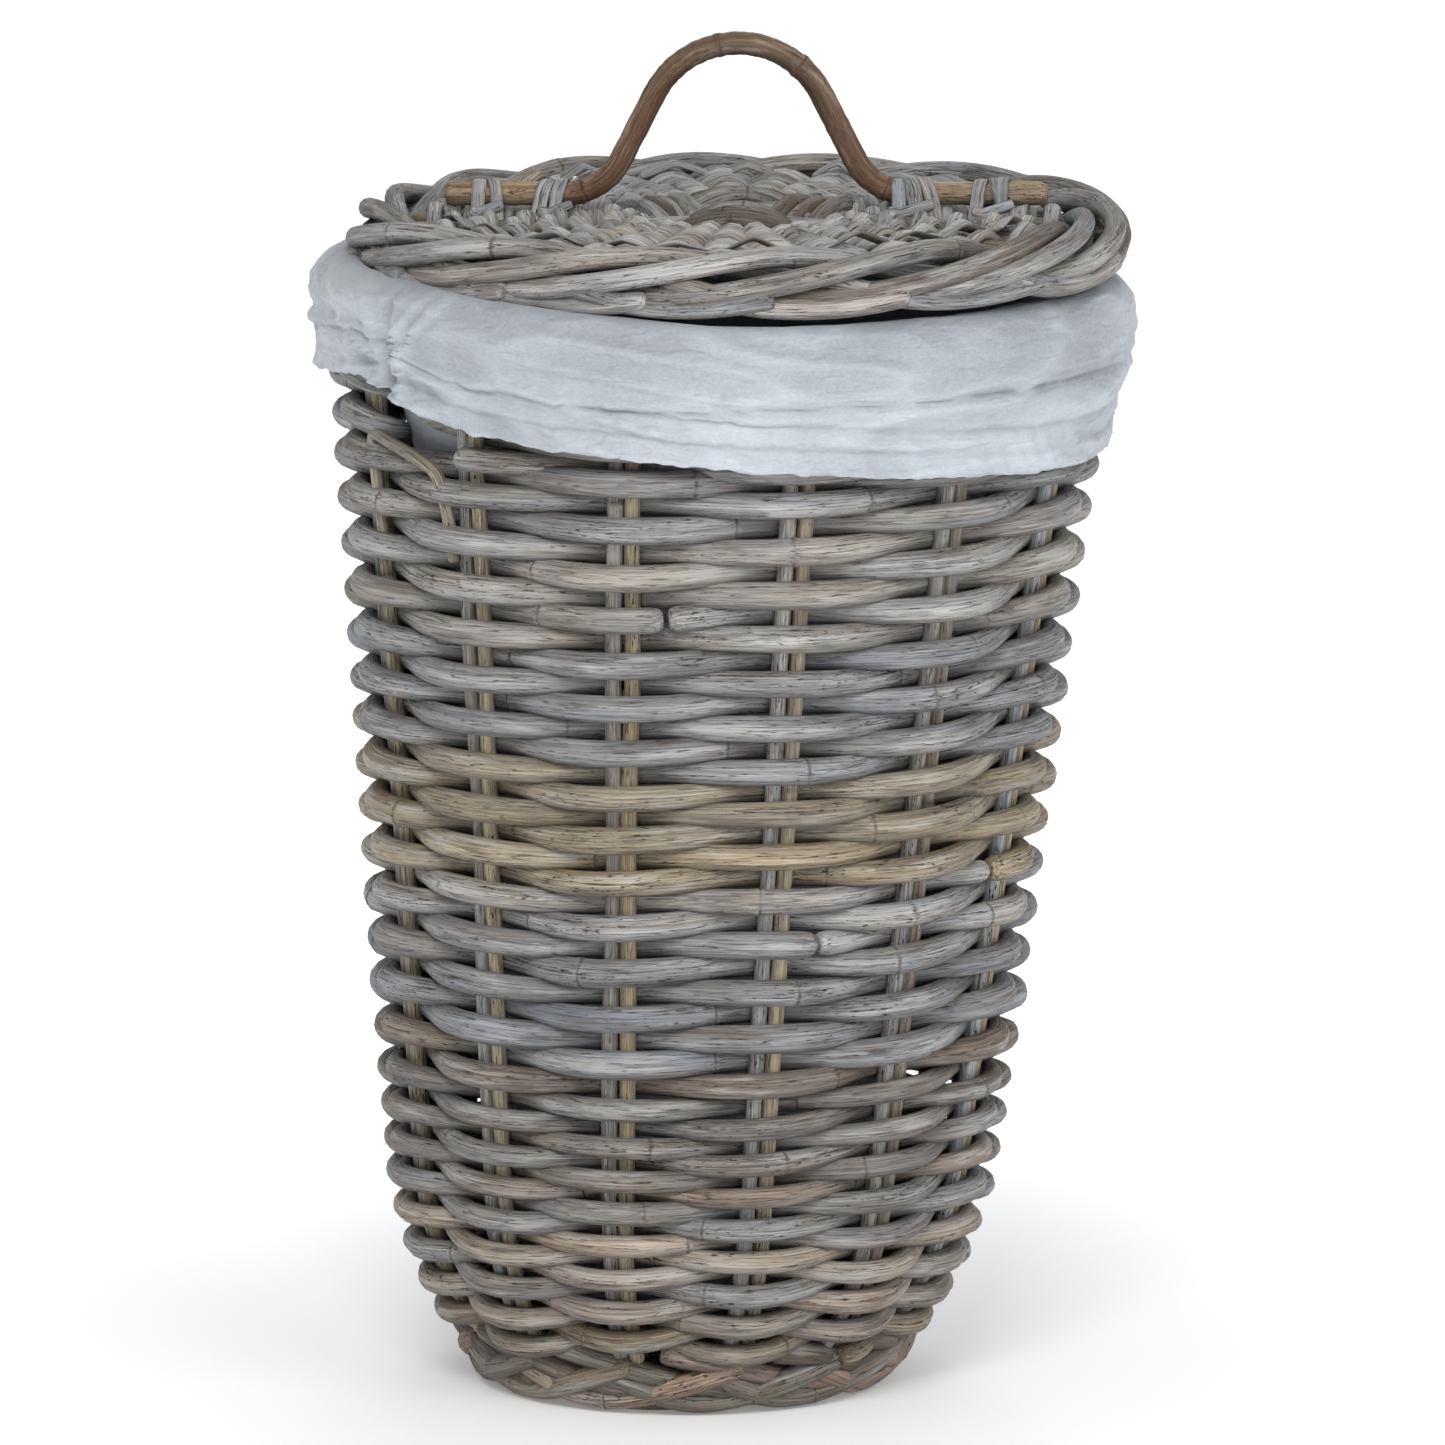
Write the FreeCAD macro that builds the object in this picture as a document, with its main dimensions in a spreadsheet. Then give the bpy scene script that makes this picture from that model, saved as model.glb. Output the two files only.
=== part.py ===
import FreeCAD, Part
import os
import Sketcher

# A round woven laundry basket with a cloth liner and a loose lid.
# Millimetres, +Z up, the floor at z = 0 and the middle of the mouth above the origin.
# Angles are counted from +X towards +Y. The two hand holes face -X and +X.

doc = FreeCAD.newDocument("laundry_basket")
up = FreeCAD.Vector(0, 0, 1)

DRIVING = (
    ("straight_radius", 153.8, "outer radius of the straight side, carried down to the floor"),
    ("side_taper", 0.097, "growth of the outer radius for each millimetre of height"),
    ("bowl_height", 140, "height at which the rounded lower end meets the straight side"),
    ("bowl_drop", 45.8, "how far the rounded end pulls in at the floor"),
    ("bowl_power", 2.8, "how sharply it pulls in"),
    ("wall_thick", 33, "from the outer bumps of the weave to the inner ones"),
    ("foot_x", -15.2, "middle of the foot, because the basket leans a little"),
    ("foot_y", 13.0, "middle of the foot"),
    ("foot_top", 36, "top of the plaited foot border"),
    ("weave_top", 562, "top of the woven side"),
    ("rim_top", 580, "top of the rim border"),
    ("rim_radius", 210, "outer radius of the rim border"),
    ("rim_wide", 38, "width of the rim border"),
    ("border_round", 8, "rounding of the rim and lid borders"),
    ("stake_pairs", 13, "upright stake pairs round the side"),
    ("first_stake", 270, "angle of the first stake pair"),
    ("stake_thick", 8, "diameter of a stake"),
    ("stake_apart", 13, "between the two stakes of a pair"),
    ("stake_deep", 14, "from the outer bumps to the middle of a stake"),
    ("flute_radius", 15, "round groove that a stake pair stands in"),
    ("flute_deep", 6, "from the outer bumps to the middle of the groove"),
    ("hole_low", 502, "bottom edge of the hand holes"),
    ("hole_top", 548, "top edge of the hand holes"),
    ("hole_wide", 75, "width of the hole in the weave, past the stakes on both sides"),
    ("edge_cane", 8, "diameter of the thin cane on the bottom edge of a hand hole"),
    ("edge_share", 0.66, "share of the bay between two stake pairs that this cane spans"),
    ("base_radius", 88, "woven bottom"),
    ("base_low", 17, "underside of the woven bottom"),
    ("disc_thick", 16, "thickness of the woven bottom and of the woven lid"),
    ("stick_thick", 8, "diameter of a cross stick"),
    ("stick_apart", 12, "between two cross sticks"),
    ("stick_proud", 0.5, "how far a cross stick stands out of the weave"),
    ("stick_short", 3, "how far a cross stick stops short of the edge"),
    ("liner_low", 37, "underside of the liner"),
    ("liner_clear", 13, "between the woven side and the hanging bag"),
    ("liner_thick", 1.5, "thickness of the cloth"),
    ("liner_top", 584.5, "cloth over the rim"),
    ("collar_radius", 216, "widest part of the turned-over collar"),
    ("collar_low", 500, "hem of the collar"),
    ("hem_thick", 3, "hem with its casing"),
    ("hem_clear", 0.5, "between the weave and the hem"),
    ("notch_top", 537, "hem where it is lifted over a hand hole"),
    ("notch_wide", 84, "width of that lifted stretch"),
    ("elastic_low", 512, "lower edge of the elastic"),
    ("elastic_wide", 8, "width of the elastic"),
    ("elastic_thick", 1.2, "thickness of the elastic"),
    ("lid_x", 6.1, "middle of the lid, which lies a little off the mouth"),
    ("lid_y", -5.2, "middle of the lid"),
    ("lid_low", 585, "underside of the lid border"),
    ("lid_high", 38, "height of the lid border"),
    ("lid_radius", 207, "outer radius of the lid border"),
    ("lid_border_wide", 42, "width of the lid border"),
    ("lid_disc_low", 602, "underside of the woven lid"),
    ("handle_angle", -40.67, "direction of the handle cane"),
    ("handle_axis", 626, "height of the middle of its straight ends"),
    ("handle_thick", 12, "diameter of the handle cane"),
    ("handle_left", 152, "from the middle of the lid to the left end"),
    ("handle_right", 161, "from the middle of the lid to the right end"),
    ("loop_radius", 48.6, "top arc of the loop"),
    ("loop_middle", 30, "middle of that arc above the straight ends"),
    ("leg_angle", 63, "slope of the loop's legs"),
    ("bend_radius", 20, "bend between a leg and a straight end"),
    ("lashing_wide", 14, "width of a lashing along the handle"),
    ("lashing_thick", 1.6, "thickness of a lashing"),
)

sizes = doc.addObject("Spreadsheet::Sheet", "sizes")
for row, (alias, value, meaning) in enumerate(DRIVING, start=1):
    sizes.set(f"A{row}", meaning)
    sizes.set(f"B{row}", str(value))
    sizes.setAlias(f"B{row}", alias)
doc.recompute()

LASHINGS = (
    ("lashing_left_outer", -130),
    ("lashing_left_inner", -93),
    ("lashing_right_inner", 90),
    ("lashing_right_outer", 132),
)
STICKS_EACH_WAY = 4
WIDE = 600  # side of the blocks that pick out one band of the side
BOWL_STEPS = (0, 0.1, 0.2, 0.3, 0.42, 0.6, 0.8, 1)
SIDE_STEPS = (0.25, 0.5, 0.75, 1)
LEVELS = [f"sizes.bowl_height * {step}" for step in BOWL_STEPS]
LEVELS += [f"sizes.bowl_height + (sizes.weave_top - sizes.bowl_height) * {step}" for step in SIDE_STEPS]

parts = []


def bind(item, expressions):
    for path, expression in expressions.items():
        item.setExpression(path, str(expression))
    return item


def keep(item, name):
    item.Label = name
    parts.append(item)
    return item


def place(item, x, y, height, angle=None):
    bind(item, {"Placement.Base.x": x, "Placement.Base.y": y, "Placement.Base.z": height})
    if angle is not None:
        item.Placement.Rotation = FreeCAD.Rotation(up, 1)
        bind(item, {"Placement.Rotation.Angle": angle})
    return item


def wall_radius(height, extra="0"):
    pull = f"max(0; 1 - ({height}) / sizes.bowl_height) ^ sizes.bowl_power"
    straight = f"sizes.straight_radius + sizes.side_taper * ({height})"
    return f"{straight} - sizes.bowl_drop * {pull} + ({extra})"


def middle(height):
    share = f"(1 - ({height}) / sizes.rim_top)"
    return f"sizes.foot_x * {share}", f"sizes.foot_y * {share}"


def polar(centre, radius, angle, sideways="0"):
    x = f"{centre[0]} + ({radius}) * cos({angle}) - ({sideways}) * sin({angle})"
    y = f"{centre[1]} + ({radius}) * sin({angle}) + ({sideways}) * cos({angle})"
    return x, y


def stack(name, rings, ruled=False):
    """Lofts one solid through level circles, each given as radius, centre and height."""
    circles = []
    for number, (radius, centre, height) in enumerate(rings, start=1):
        circle = doc.addObject("Part::Circle", f"{name}_ring_{number}")
        bind(circle, {"Radius": radius})
        circles.append(place(circle, centre[0], centre[1], height))
    solid = doc.addObject("Part::Loft", name)
    solid.Sections = circles
    solid.Solid = True
    solid.Ruled = ruled
    return solid


def follow_wall(name, extra, levels=LEVELS):
    return stack(name, [(wall_radius(level, extra), middle(level), level) for level in levels])


def block(name, low, high, front):
    """A wide box from low to high, centred on X, whose Y range starts at front."""
    item = doc.addObject("Part::Box", name)
    bind(item, {"Length": WIDE, "Width": WIDE, "Height": f"{high} - ({low})"})
    return place(item, f"-{WIDE} / 2", front, low)


def cut(name, base, tool):
    item = doc.addObject("Part::Cut", name)
    item.Base = base
    item.Tool = tool
    item.Refine = False
    return item


def common(name, base, tool):
    item = doc.addObject("Part::Common", name)
    item.Base = base
    item.Tool = tool
    item.Refine = False
    return item


def fuse(name, pieces):
    item = doc.addObject("Part::MultiFuse", name)
    item.Shapes = pieces
    return item


def group(name, pieces):
    item = doc.addObject("Part::Compound", name)
    item.Links = pieces
    return item


def cylinder(name, radius, length, x, y, height):
    item = doc.addObject("Part::Cylinder", name)
    bind(item, {"Radius": radius, "Height": length})
    return place(item, x, y, height)


def rounded_ring(name, outer, wide, low, high, x=None, y=None):
    """A border ring: a rectangle turned about Z, with all its edges rounded."""
    body = doc.addObject("PartDesign::Body", name)
    sketch = body.newObject("Sketcher::SketchObject", f"{name}_section")
    plane = [item for item in body.Origin.OriginFeatures if item.Role == "XZ_Plane"][0]
    sketch.AttachmentSupport = [(plane, "")]
    sketch.MapMode = "FlatFace"
    corners = [FreeCAD.Vector(*point) for point in ((60, 60, 0), (90, 60, 0), (90, 80, 0), (60, 80, 0))]
    for first, second in zip(corners, corners[1:] + corners[:1]):
        sketch.addGeometry(Part.LineSegment(first, second))
    for side in range(4):
        sketch.addConstraint(Sketcher.Constraint("Coincident", side, 2, (side + 1) % 4, 1))
    for side, kind in ((0, "Horizontal"), (1, "Vertical"), (2, "Horizontal"), (3, "Vertical")):
        sketch.addConstraint(Sketcher.Constraint(kind, side))
    distances = (
        ("outer", "DistanceX", (-1, 1, 0, 2), 90, outer),
        ("wide", "DistanceX", (0, 1, 0, 2), 30, wide),
        ("low", "DistanceY", (-1, 1, 0, 1), 60, low),
        ("high", "DistanceY", (1, 1, 1, 2), 20, high),
    )
    for label, kind, ends, start, expression in distances:
        index = sketch.addConstraint(Sketcher.Constraint(kind, *ends, start))
        sketch.renameConstraint(index, label)
        sketch.setExpression(f"Constraints.{label}", expression)
    turned = body.newObject("PartDesign::Revolution", f"{name}_turned")
    turned.Profile = sketch
    turned.ReferenceAxis = (sketch, ["V_Axis"])
    turned.Angle = 360
    doc.recompute()
    edges = enumerate(turned.Shape.Edges, start=1)
    rims = [f"Edge{number}" for number, edge in edges if len(edge.Vertexes) == 1]
    rounded = body.newObject("PartDesign::Fillet", f"{name}_rounded")
    rounded.Base = (turned, rims)
    bind(rounded, {"Radius": "sizes.border_round"})
    body.Tip = rounded
    if x is not None:
        place(body, x, y, 0)
    return keep(body, name)


def stake_angle(number):
    return f"(sizes.first_stake + {number} * 360 / sizes.stake_pairs)"


def hole_angle(side):
    """Each hand hole is one bay between two stake pairs; side is -1 or 1."""
    return f"(90 - ({side}) * (90 - 90 / sizes.stake_pairs))"


# ---------------------------------------------------------------- woven side
SIDE_LEVELS = ["sizes.foot_top"] + LEVELS[4:]
flutes = []
for number in range(int(sizes.stake_pairs)):
    angle = stake_angle(number)
    flute = []
    for level in SIDE_LEVELS:
        flute_at = polar(middle(level), wall_radius(level, "-sizes.flute_deep"), angle)
        flute.append(("sizes.flute_radius", flute_at, level))
    flutes.append(stack(f"flute_{number + 1}", flute))
    stakes = []
    for side in (-1, 1):
        rod = []
        for level in SIDE_LEVELS:
            sideways = f"{side} * sizes.stake_apart / 2"
            radius = wall_radius(level, "-sizes.stake_deep")
            rod.append(("sizes.stake_thick / 2", polar(middle(level), radius, angle, sideways), level))
        stakes.append(stack(f"stake_{number + 1}_{'left' if side < 0 else 'right'}", rod))
    keep(group(f"pair_{number + 1}", stakes), f"stake_pair_{number + 1:02d}")
all_flutes = group("all_flutes", flutes)


def woven_band(name, levels):
    """One band of the side through the given levels, with the grooves that the stakes stand in."""
    ring = cut(f"{name}_ring", follow_wall(f"{name}_outside", "0", levels),
               follow_wall(f"{name}_inside", "-sizes.wall_thick", levels))
    return cut(name, ring, all_flutes)


keep(woven_band("side", SIDE_LEVELS[:-1] + ["sizes.hole_low"]), "side_weave")
keep(woven_band("over_holes", ["sizes.hole_top", "sizes.weave_top"]), "top_weave")

hole_middle = middle("sizes.hole_low")
holes = []
for side, where in ((-1, "left"), (1, "right")):
    hole = doc.addObject("Part::Box", f"hole_{where}")
    bind(hole, {
        "Length": "sizes.rim_radius + sizes.wall_thick",
        "Width": "sizes.hole_wide",
        "Height": "2 * (sizes.hole_top - sizes.hole_low)",
    })
    corner = polar(hole_middle, "0", hole_angle(side), "-sizes.hole_wide / 2")
    bottom = "sizes.hole_low - (sizes.hole_top - sizes.hole_low) / 2"
    holes.append(place(hole, corner[0], corner[1], bottom, hole_angle(side)))
full_band = woven_band("hole_band", ["sizes.hole_low", "sizes.hole_top"])
band = cut("band_wall", full_band, group("both_holes", holes))
hole_line = "sizes.rim_radius * sin(90 / sizes.stake_pairs)"
for where, start in (("front", f"{hole_line} - {WIDE}"), ("back", hole_line)):
    half = block(f"half_{where}", "sizes.hole_low - 10", "sizes.hole_top + 10", start)
    keep(common(f"panel_{where}", band, half), f"hole_panel_{where}")

edge_turn = "(360 / sizes.stake_pairs * sizes.edge_share)"
for side, where in ((-1, "left"), (1, "right")):
    cane = doc.addObject("Part::Torus", f"edge_{where}")
    bind(cane, {
        "Radius1": wall_radius("sizes.hole_low", "-sizes.wall_thick / 2"),
        "Radius2": "sizes.edge_cane / 2",
        "Angle3": edge_turn,
    })
    start = f"{hole_angle(side)} - {edge_turn} / 2"
    place(cane, *hole_middle, "sizes.hole_low + sizes.edge_cane / 2", start)
    keep(cane, f"hole_edge_cane_{where}")

rounded_ring("rim_border", "sizes.rim_radius", "sizes.rim_wide", "sizes.weave_top",
             "sizes.rim_top - sizes.weave_top")

# ---------------------------------------------------------------- foot and bottom
foot_room = cylinder("foot_room", "sizes.base_radius", "sizes.foot_top", "sizes.foot_x", "sizes.foot_y", "0")
foot_full = follow_wall("foot_full", "0", LEVELS[:3] + ["sizes.foot_top"])
keep(cut("foot", foot_full, foot_room), "foot_border")


def woven_disc(name, radius, x, y, low):
    """A round woven panel with two layers of parallel cross sticks lying in it."""
    disc = cylinder(f"{name}_disc", radius, "sizes.disc_thick", x, y, low)
    layers = []
    for way, turn, height in (
        ("lengthways", "sizes.handle_angle", "sizes.stick_thick / 2 - sizes.stick_proud"),
        ("crossways", "sizes.handle_angle + 90",
         "sizes.disc_thick + sizes.stick_proud - sizes.stick_thick / 2"),
    ):
        sticks = []
        for number in range(STICKS_EACH_WAY):
            aside = f"({number} - {(STICKS_EACH_WAY - 1) / 2}) * sizes.stick_apart"
            half = f"sqrt((({radius}) - sizes.stick_short) ^ 2 - ({aside}) ^ 2)"
            start = polar((x, y), f"-{half}", f"({turn})", aside)
            stick = doc.addObject("Part::Cylinder", f"{name}_{way}_{number + 1}")
            bind(stick, {"Radius": "sizes.stick_thick / 2", "Height": f"2 * {half}"})
            place(stick, start[0], start[1], f"{low} + {height}")
            stick.Placement.Rotation = FreeCAD.Rotation(turn_value(turn), 90, 0)
            sticks.append(stick)
        layers.append(keep(group(f"{name}_{way}", sticks), f"{name}_sticks_{way}"))
    keep(cut(f"{name}_woven", disc, group(f"{name}_sticks", layers)), f"{name}_weave")


def turn_value(expression):
    """The sheet's own number for an angle, for a rotation that takes two angles at once."""
    turn = float(sizes.handle_angle)
    return turn + 90 if expression.endswith("+ 90") else turn


woven_disc("base", "sizes.base_radius", "sizes.foot_x", "sizes.foot_y", "sizes.base_low")

# ---------------------------------------------------------------- liner
COLLAR = (
    ("sizes.collar_low", None),
    ("sizes.collar_low + 14", None),
    ("sizes.collar_low + 27", None),
    ("sizes.collar_low + 42", "sizes.collar_radius - 2"),
    ("sizes.collar_low + 58", "sizes.collar_radius"),
    ("sizes.collar_low + 72", "sizes.collar_radius - 0.5"),
    ("sizes.liner_top", "sizes.collar_radius - 5"),
)
outside = []
inside = []
for level, radius in COLLAR:
    hugging = wall_radius(level, "sizes.hem_clear")
    outside.append((radius or f"{hugging} + sizes.hem_thick", middle(level), level))
    inside.append((f"{radius} - sizes.liner_thick" if radius else hugging, middle(level), level))
collar = stack("collar_outside", outside, ruled=True)
collar_room = stack("collar_inside", inside, ruled=True)
rim_plate = block("rim_plate", "sizes.liner_top - sizes.liner_thick", "sizes.liner_top + 10", f"-{WIDE} / 2")
collar_shell = cut("collar_shell", collar, cut("under_plate", collar_room, rim_plate))

bag_gap = "-sizes.wall_thick - sizes.liner_clear"
BAG_LEVELS = ["sizes.liner_low + sizes.liner_thick"] + LEVELS[4:-1] + ["sizes.liner_top"]
bag = follow_wall("bag_outside", bag_gap, BAG_LEVELS)
bag_room = follow_wall("bag_inside", f"{bag_gap} - sizes.liner_thick", BAG_LEVELS)
notches = []
for side, where in ((-1, "left"), (1, "right")):
    notch = doc.addObject("Part::Box", f"notch_{where}")
    bind(notch, {
        "Length": "sizes.collar_radius",
        "Width": "sizes.notch_wide",
        "Height": "sizes.notch_top - sizes.collar_low + 10",
    })
    radius = "sizes.rim_radius - sizes.wall_thick / 2"
    corner = polar(("0", "0"), radius, hole_angle(side), "-sizes.notch_wide / 2")
    notches.append(place(notch, corner[0], corner[1], "sizes.collar_low - 10", hole_angle(side)))
notch_pair = group("notch_pair", notches)

elastic_levels = ["sizes.elastic_low", "sizes.elastic_low + sizes.elastic_wide"]
elastic_out = follow_wall("elastic_outside", "sizes.hem_clear + sizes.elastic_thick", elastic_levels)
elastic_in = follow_wall("elastic_inside", "sizes.hem_clear", elastic_levels)
elastic_ring = cut("elastic_ring", elastic_out, elastic_in)
keep(cut("elastic", elastic_ring, notch_pair), "liner_elastic")

liner_full = cut("liner_full", fuse("liner_cloth", [collar_shell, bag]), bag_room)
keep(cut("liner", cut("liner_cased", liner_full, elastic_ring), notch_pair), "liner_side")
bag_foot = BAG_LEVELS[0]
keep(cylinder("liner_floor", wall_radius(bag_foot, bag_gap), "sizes.liner_thick",
              *middle(bag_foot), "sizes.liner_low"), "liner_base")

# ---------------------------------------------------------------- lid
rounded_ring("lid_border", "sizes.lid_radius", "sizes.lid_border_wide", "sizes.lid_low", "sizes.lid_high",
             "sizes.lid_x", "sizes.lid_y")
woven_disc("lid", "(sizes.lid_radius - sizes.lid_border_wide)", "sizes.lid_x", "sizes.lid_y",
           "sizes.lid_disc_low")


# The bent cane: straight ends, two bends, two legs and the top arc, joined end to end.
top_x = "(sizes.loop_radius * sin(sizes.leg_angle))"
top_z = "(sizes.loop_middle + sizes.loop_radius * cos(sizes.leg_angle))"
run = "(sizes.bend_radius * tan(sizes.leg_angle / 2))"
leg_x = f"({top_x} + {top_z} / tan(sizes.leg_angle))"
pieces = []
for side, end in ((-1, "left"), (1, "right")):
    straight = doc.addObject("Part::Cylinder", f"handle_end_{end}")
    bind(straight, {"Radius": "sizes.handle_thick / 2", "Height": f"sizes.handle_{end} - {leg_x} - {run}"})
    straight.Placement.Rotation = FreeCAD.Rotation(0, 90 * side, 0)
    pieces.append(place(straight, f"{side} * ({leg_x} + {run})", "0", "0"))

    bend = doc.addObject("Part::Torus", f"handle_bend_{end}")
    bind(bend, {
        "Radius1": "sizes.bend_radius",
        "Radius2": "sizes.handle_thick / 2",
        "Angle3": "sizes.leg_angle",
    })
    start = -90 - float(sizes.leg_angle) if side > 0 else -90
    bend.Placement.Rotation = FreeCAD.Rotation(0, 0, 90).multiply(FreeCAD.Rotation(start, 0, 0))
    pieces.append(place(bend, f"{side} * ({leg_x} + {run})", "0", "sizes.bend_radius"))

    slope = doc.addObject("Part::Cylinder", f"handle_leg_{end}")
    bind(slope, {"Radius": "sizes.handle_thick / 2", "Height": f"{top_z} / sin(sizes.leg_angle) - {run}"})
    slope.Placement.Rotation = FreeCAD.Rotation(0, 180 - side * (90 - float(sizes.leg_angle)), 0)
    pieces.append(place(slope, f"{side} * {top_x}", "0", top_z))
top_arc = doc.addObject("Part::Torus", "handle_top")
bind(top_arc, {
    "Radius1": "sizes.loop_radius",
    "Radius2": "sizes.handle_thick / 2",
    "Angle3": "2 * sizes.leg_angle",
})
turn = 90 - float(sizes.leg_angle)
top_arc.Placement.Rotation = FreeCAD.Rotation(0, 0, 90).multiply(FreeCAD.Rotation(turn, 0, 0))
pieces.append(place(top_arc, "0", "0", "sizes.loop_middle"))
handle = fuse("handle", pieces)
place(handle, "sizes.lid_x", "sizes.lid_y", "sizes.handle_axis", "sizes.handle_angle")
keep(handle, "lid_handle")

for name, along in LASHINGS:
    reach = "(sizes.handle_thick / 2 + sizes.lashing_thick)"
    drop = "(sizes.handle_axis - sizes.lid_disc_low - sizes.disc_thick - sizes.stick_proud)"
    over = doc.addObject("Part::Cylinder", f"{name}_over")
    bind(over, {"Radius": reach, "Height": "sizes.lashing_wide"})
    over.Placement.Rotation = FreeCAD.Rotation(0, 90, 0)
    place(over, f"{along} - sizes.lashing_wide / 2", "0", "0")
    legs = doc.addObject("Part::Box", f"{name}_legs")
    bind(legs, {"Length": "sizes.lashing_wide", "Width": f"2 * {reach}", "Height": drop})
    place(legs, f"{along} - sizes.lashing_wide / 2", f"-{reach}", f"-{drop}")
    core = doc.addObject("Part::Cylinder", f"{name}_core")
    bind(core, {"Radius": "sizes.handle_thick / 2", "Height": "2 * sizes.lashing_wide"})
    core.Placement.Rotation = FreeCAD.Rotation(0, 90, 0)
    place(core, f"{along} - sizes.lashing_wide", "0", "0")
    floor = doc.addObject("Part::Box", f"{name}_floor")
    bind(floor, {"Length": "2 * sizes.lashing_wide", "Width": "60", "Height": "60"})
    place(floor, f"{along} - sizes.lashing_wide", "-30", f"-{drop} - 60")
    wrap = cut(f"{name}_wrap", fuse(f"{name}_full", [over, legs]), fuse(f"{name}_away", [core, floor]))
    place(wrap, "sizes.lid_x", "sizes.lid_y", "sizes.handle_axis", "sizes.handle_angle")
    keep(wrap, name)

doc.recompute()

# ---------------------------------------------------------------- checks and files
for item in doc.Objects:
    if "Invalid" in item.State or "Error" in item.State:
        raise RuntimeError(f"{item.Name} failed: {item.State}")
os.makedirs("parts", exist_ok=True)
for item in parts:
    shape = item.Shape
    if shape.isNull() or not shape.isValid() or shape.Volume <= 0:
        raise RuntimeError(f"{item.Label} has no valid shape")
    print(f"{item.Label}: {len(shape.Solids)} solids, {shape.Volume / 1000:.1f} cm3")
    shape.exportStep(f"parts/{item.Label}.step")
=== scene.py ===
import bisect
import math
import random
import bmesh
import bpy
import numpy as np
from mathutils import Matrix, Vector, noise


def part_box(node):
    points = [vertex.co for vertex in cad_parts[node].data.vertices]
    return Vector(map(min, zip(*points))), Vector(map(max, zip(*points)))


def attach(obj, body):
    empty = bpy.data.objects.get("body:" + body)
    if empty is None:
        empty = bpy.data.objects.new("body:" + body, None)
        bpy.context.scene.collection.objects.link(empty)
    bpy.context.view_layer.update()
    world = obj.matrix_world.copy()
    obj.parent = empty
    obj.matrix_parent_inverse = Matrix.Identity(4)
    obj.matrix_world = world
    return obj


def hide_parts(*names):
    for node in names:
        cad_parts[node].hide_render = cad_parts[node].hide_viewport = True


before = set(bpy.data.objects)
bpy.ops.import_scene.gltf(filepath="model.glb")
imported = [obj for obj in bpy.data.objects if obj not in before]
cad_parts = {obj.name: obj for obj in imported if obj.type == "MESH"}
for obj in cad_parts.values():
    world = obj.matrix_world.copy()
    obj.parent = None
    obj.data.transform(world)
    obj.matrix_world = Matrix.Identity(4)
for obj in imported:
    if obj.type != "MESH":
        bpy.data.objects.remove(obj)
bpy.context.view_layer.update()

# ---- the frame's own places ----
rimLow, rimHigh = (Vector(corner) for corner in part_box("rim_border"))
baseLow, baseHigh = (Vector(corner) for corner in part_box("base_weave"))
sideLow, sideHigh = (Vector(corner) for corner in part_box("side_weave"))
topLow = Vector(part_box("top_weave")[0])
lidLow, lidHigh = (Vector(corner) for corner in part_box("lid_weave"))
borderLow, borderHigh = (Vector(corner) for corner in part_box("lid_border"))
footMiddle = (baseLow + baseHigh) / 2
lidMiddle = (lidLow + lidHigh) / 2

# outer bumps of the weave: a straight taper with a rounded lower end
wall = {
    "straightRadius": 0.1538, "taper": 0.097, "bowlHeight": 0.14, "bowlDrop": 0.0458,
    "bowlPower": 2.8, "pairs": 13, "firstPair": math.radians(270),
}
bay = math.tau / wall["pairs"]
viewTurn = math.radians(-40.67)  # the handle lies along this turn, square to the camera's line


def wallRadius(height):
    pull = max(0, 1 - height / wall["bowlHeight"]) ** wall["bowlPower"]
    return wall["straightRadius"] + wall["taper"] * height - wall["bowlDrop"] * pull


def wallSlope(height):
    return (wallRadius(height + 0.001) - wallRadius(height - 0.001)) / 0.002


def wallPoint(angle, height, inward):
    # inward is measured square to the leaning surface
    slope = wallSlope(height)
    size = math.hypot(1, slope)
    radius = wallRadius(height) - inward / size
    share = 1 - height / rimHigh.z
    x = footMiddle.x * share + radius * math.cos(angle)
    y = footMiddle.y * share + radius * math.sin(angle)
    return Vector((x, y, height + inward * slope / size))


profileHeights = np.linspace(0, rimHigh.z, 600)
profileRadii = np.array([wallRadius(height) for height in profileHeights])
profileSteps = np.hypot(np.diff(profileHeights), np.diff(profileRadii))
# rows lie closer together low down
pitchHeights = (0, 0.1, 0.125, 0.15, 0.18, 0.58)
rowPitches = (0.0101, 0.0101, 0.0092, 0.0094, 0.0118, 0.0118)
profilePitches = np.interp(profileHeights, pitchHeights, rowPitches)
profileRows = np.concatenate(([0], np.cumsum(profileSteps / profilePitches[1:])))


def heightAfter(start, rows):
    # height reached after that many rows up the wall
    first = np.interp(start, profileHeights, profileRows)
    return float(np.interp(first + rows, profileRows, profileHeights))


def softRead(share, shares, values):
    # reads a table with rounded corners
    total = 0
    for offset, weight in ((-0.09, 1), (-0.045, 2), (0, 2), (0.045, 2), (0.09, 1)):
        total += weight * float(np.interp(share + offset, shares, values))
    return total / 8


def toLinear(colour):
    return tuple((part / 255) ** 2.2 for part in colour)


def softNoise(x, y, z):
    return noise.noise(Vector((x, y, z)))


def roundNoise(angle, size, z):
    # noise that closes on itself once round the basket
    return softNoise(math.cos(angle) * size, math.sin(angle) * size, z)


def waysAt(turn):
    # outwards and sideways along the floor
    return Vector((math.cos(turn), math.sin(turn), 0)), Vector((-math.sin(turn), math.cos(turn), 0))


def smooth(value, low, high):
    share = min(1, max(0, (value - low) / (high - low)))
    return share * share * (3 - 2 * share)


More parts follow.
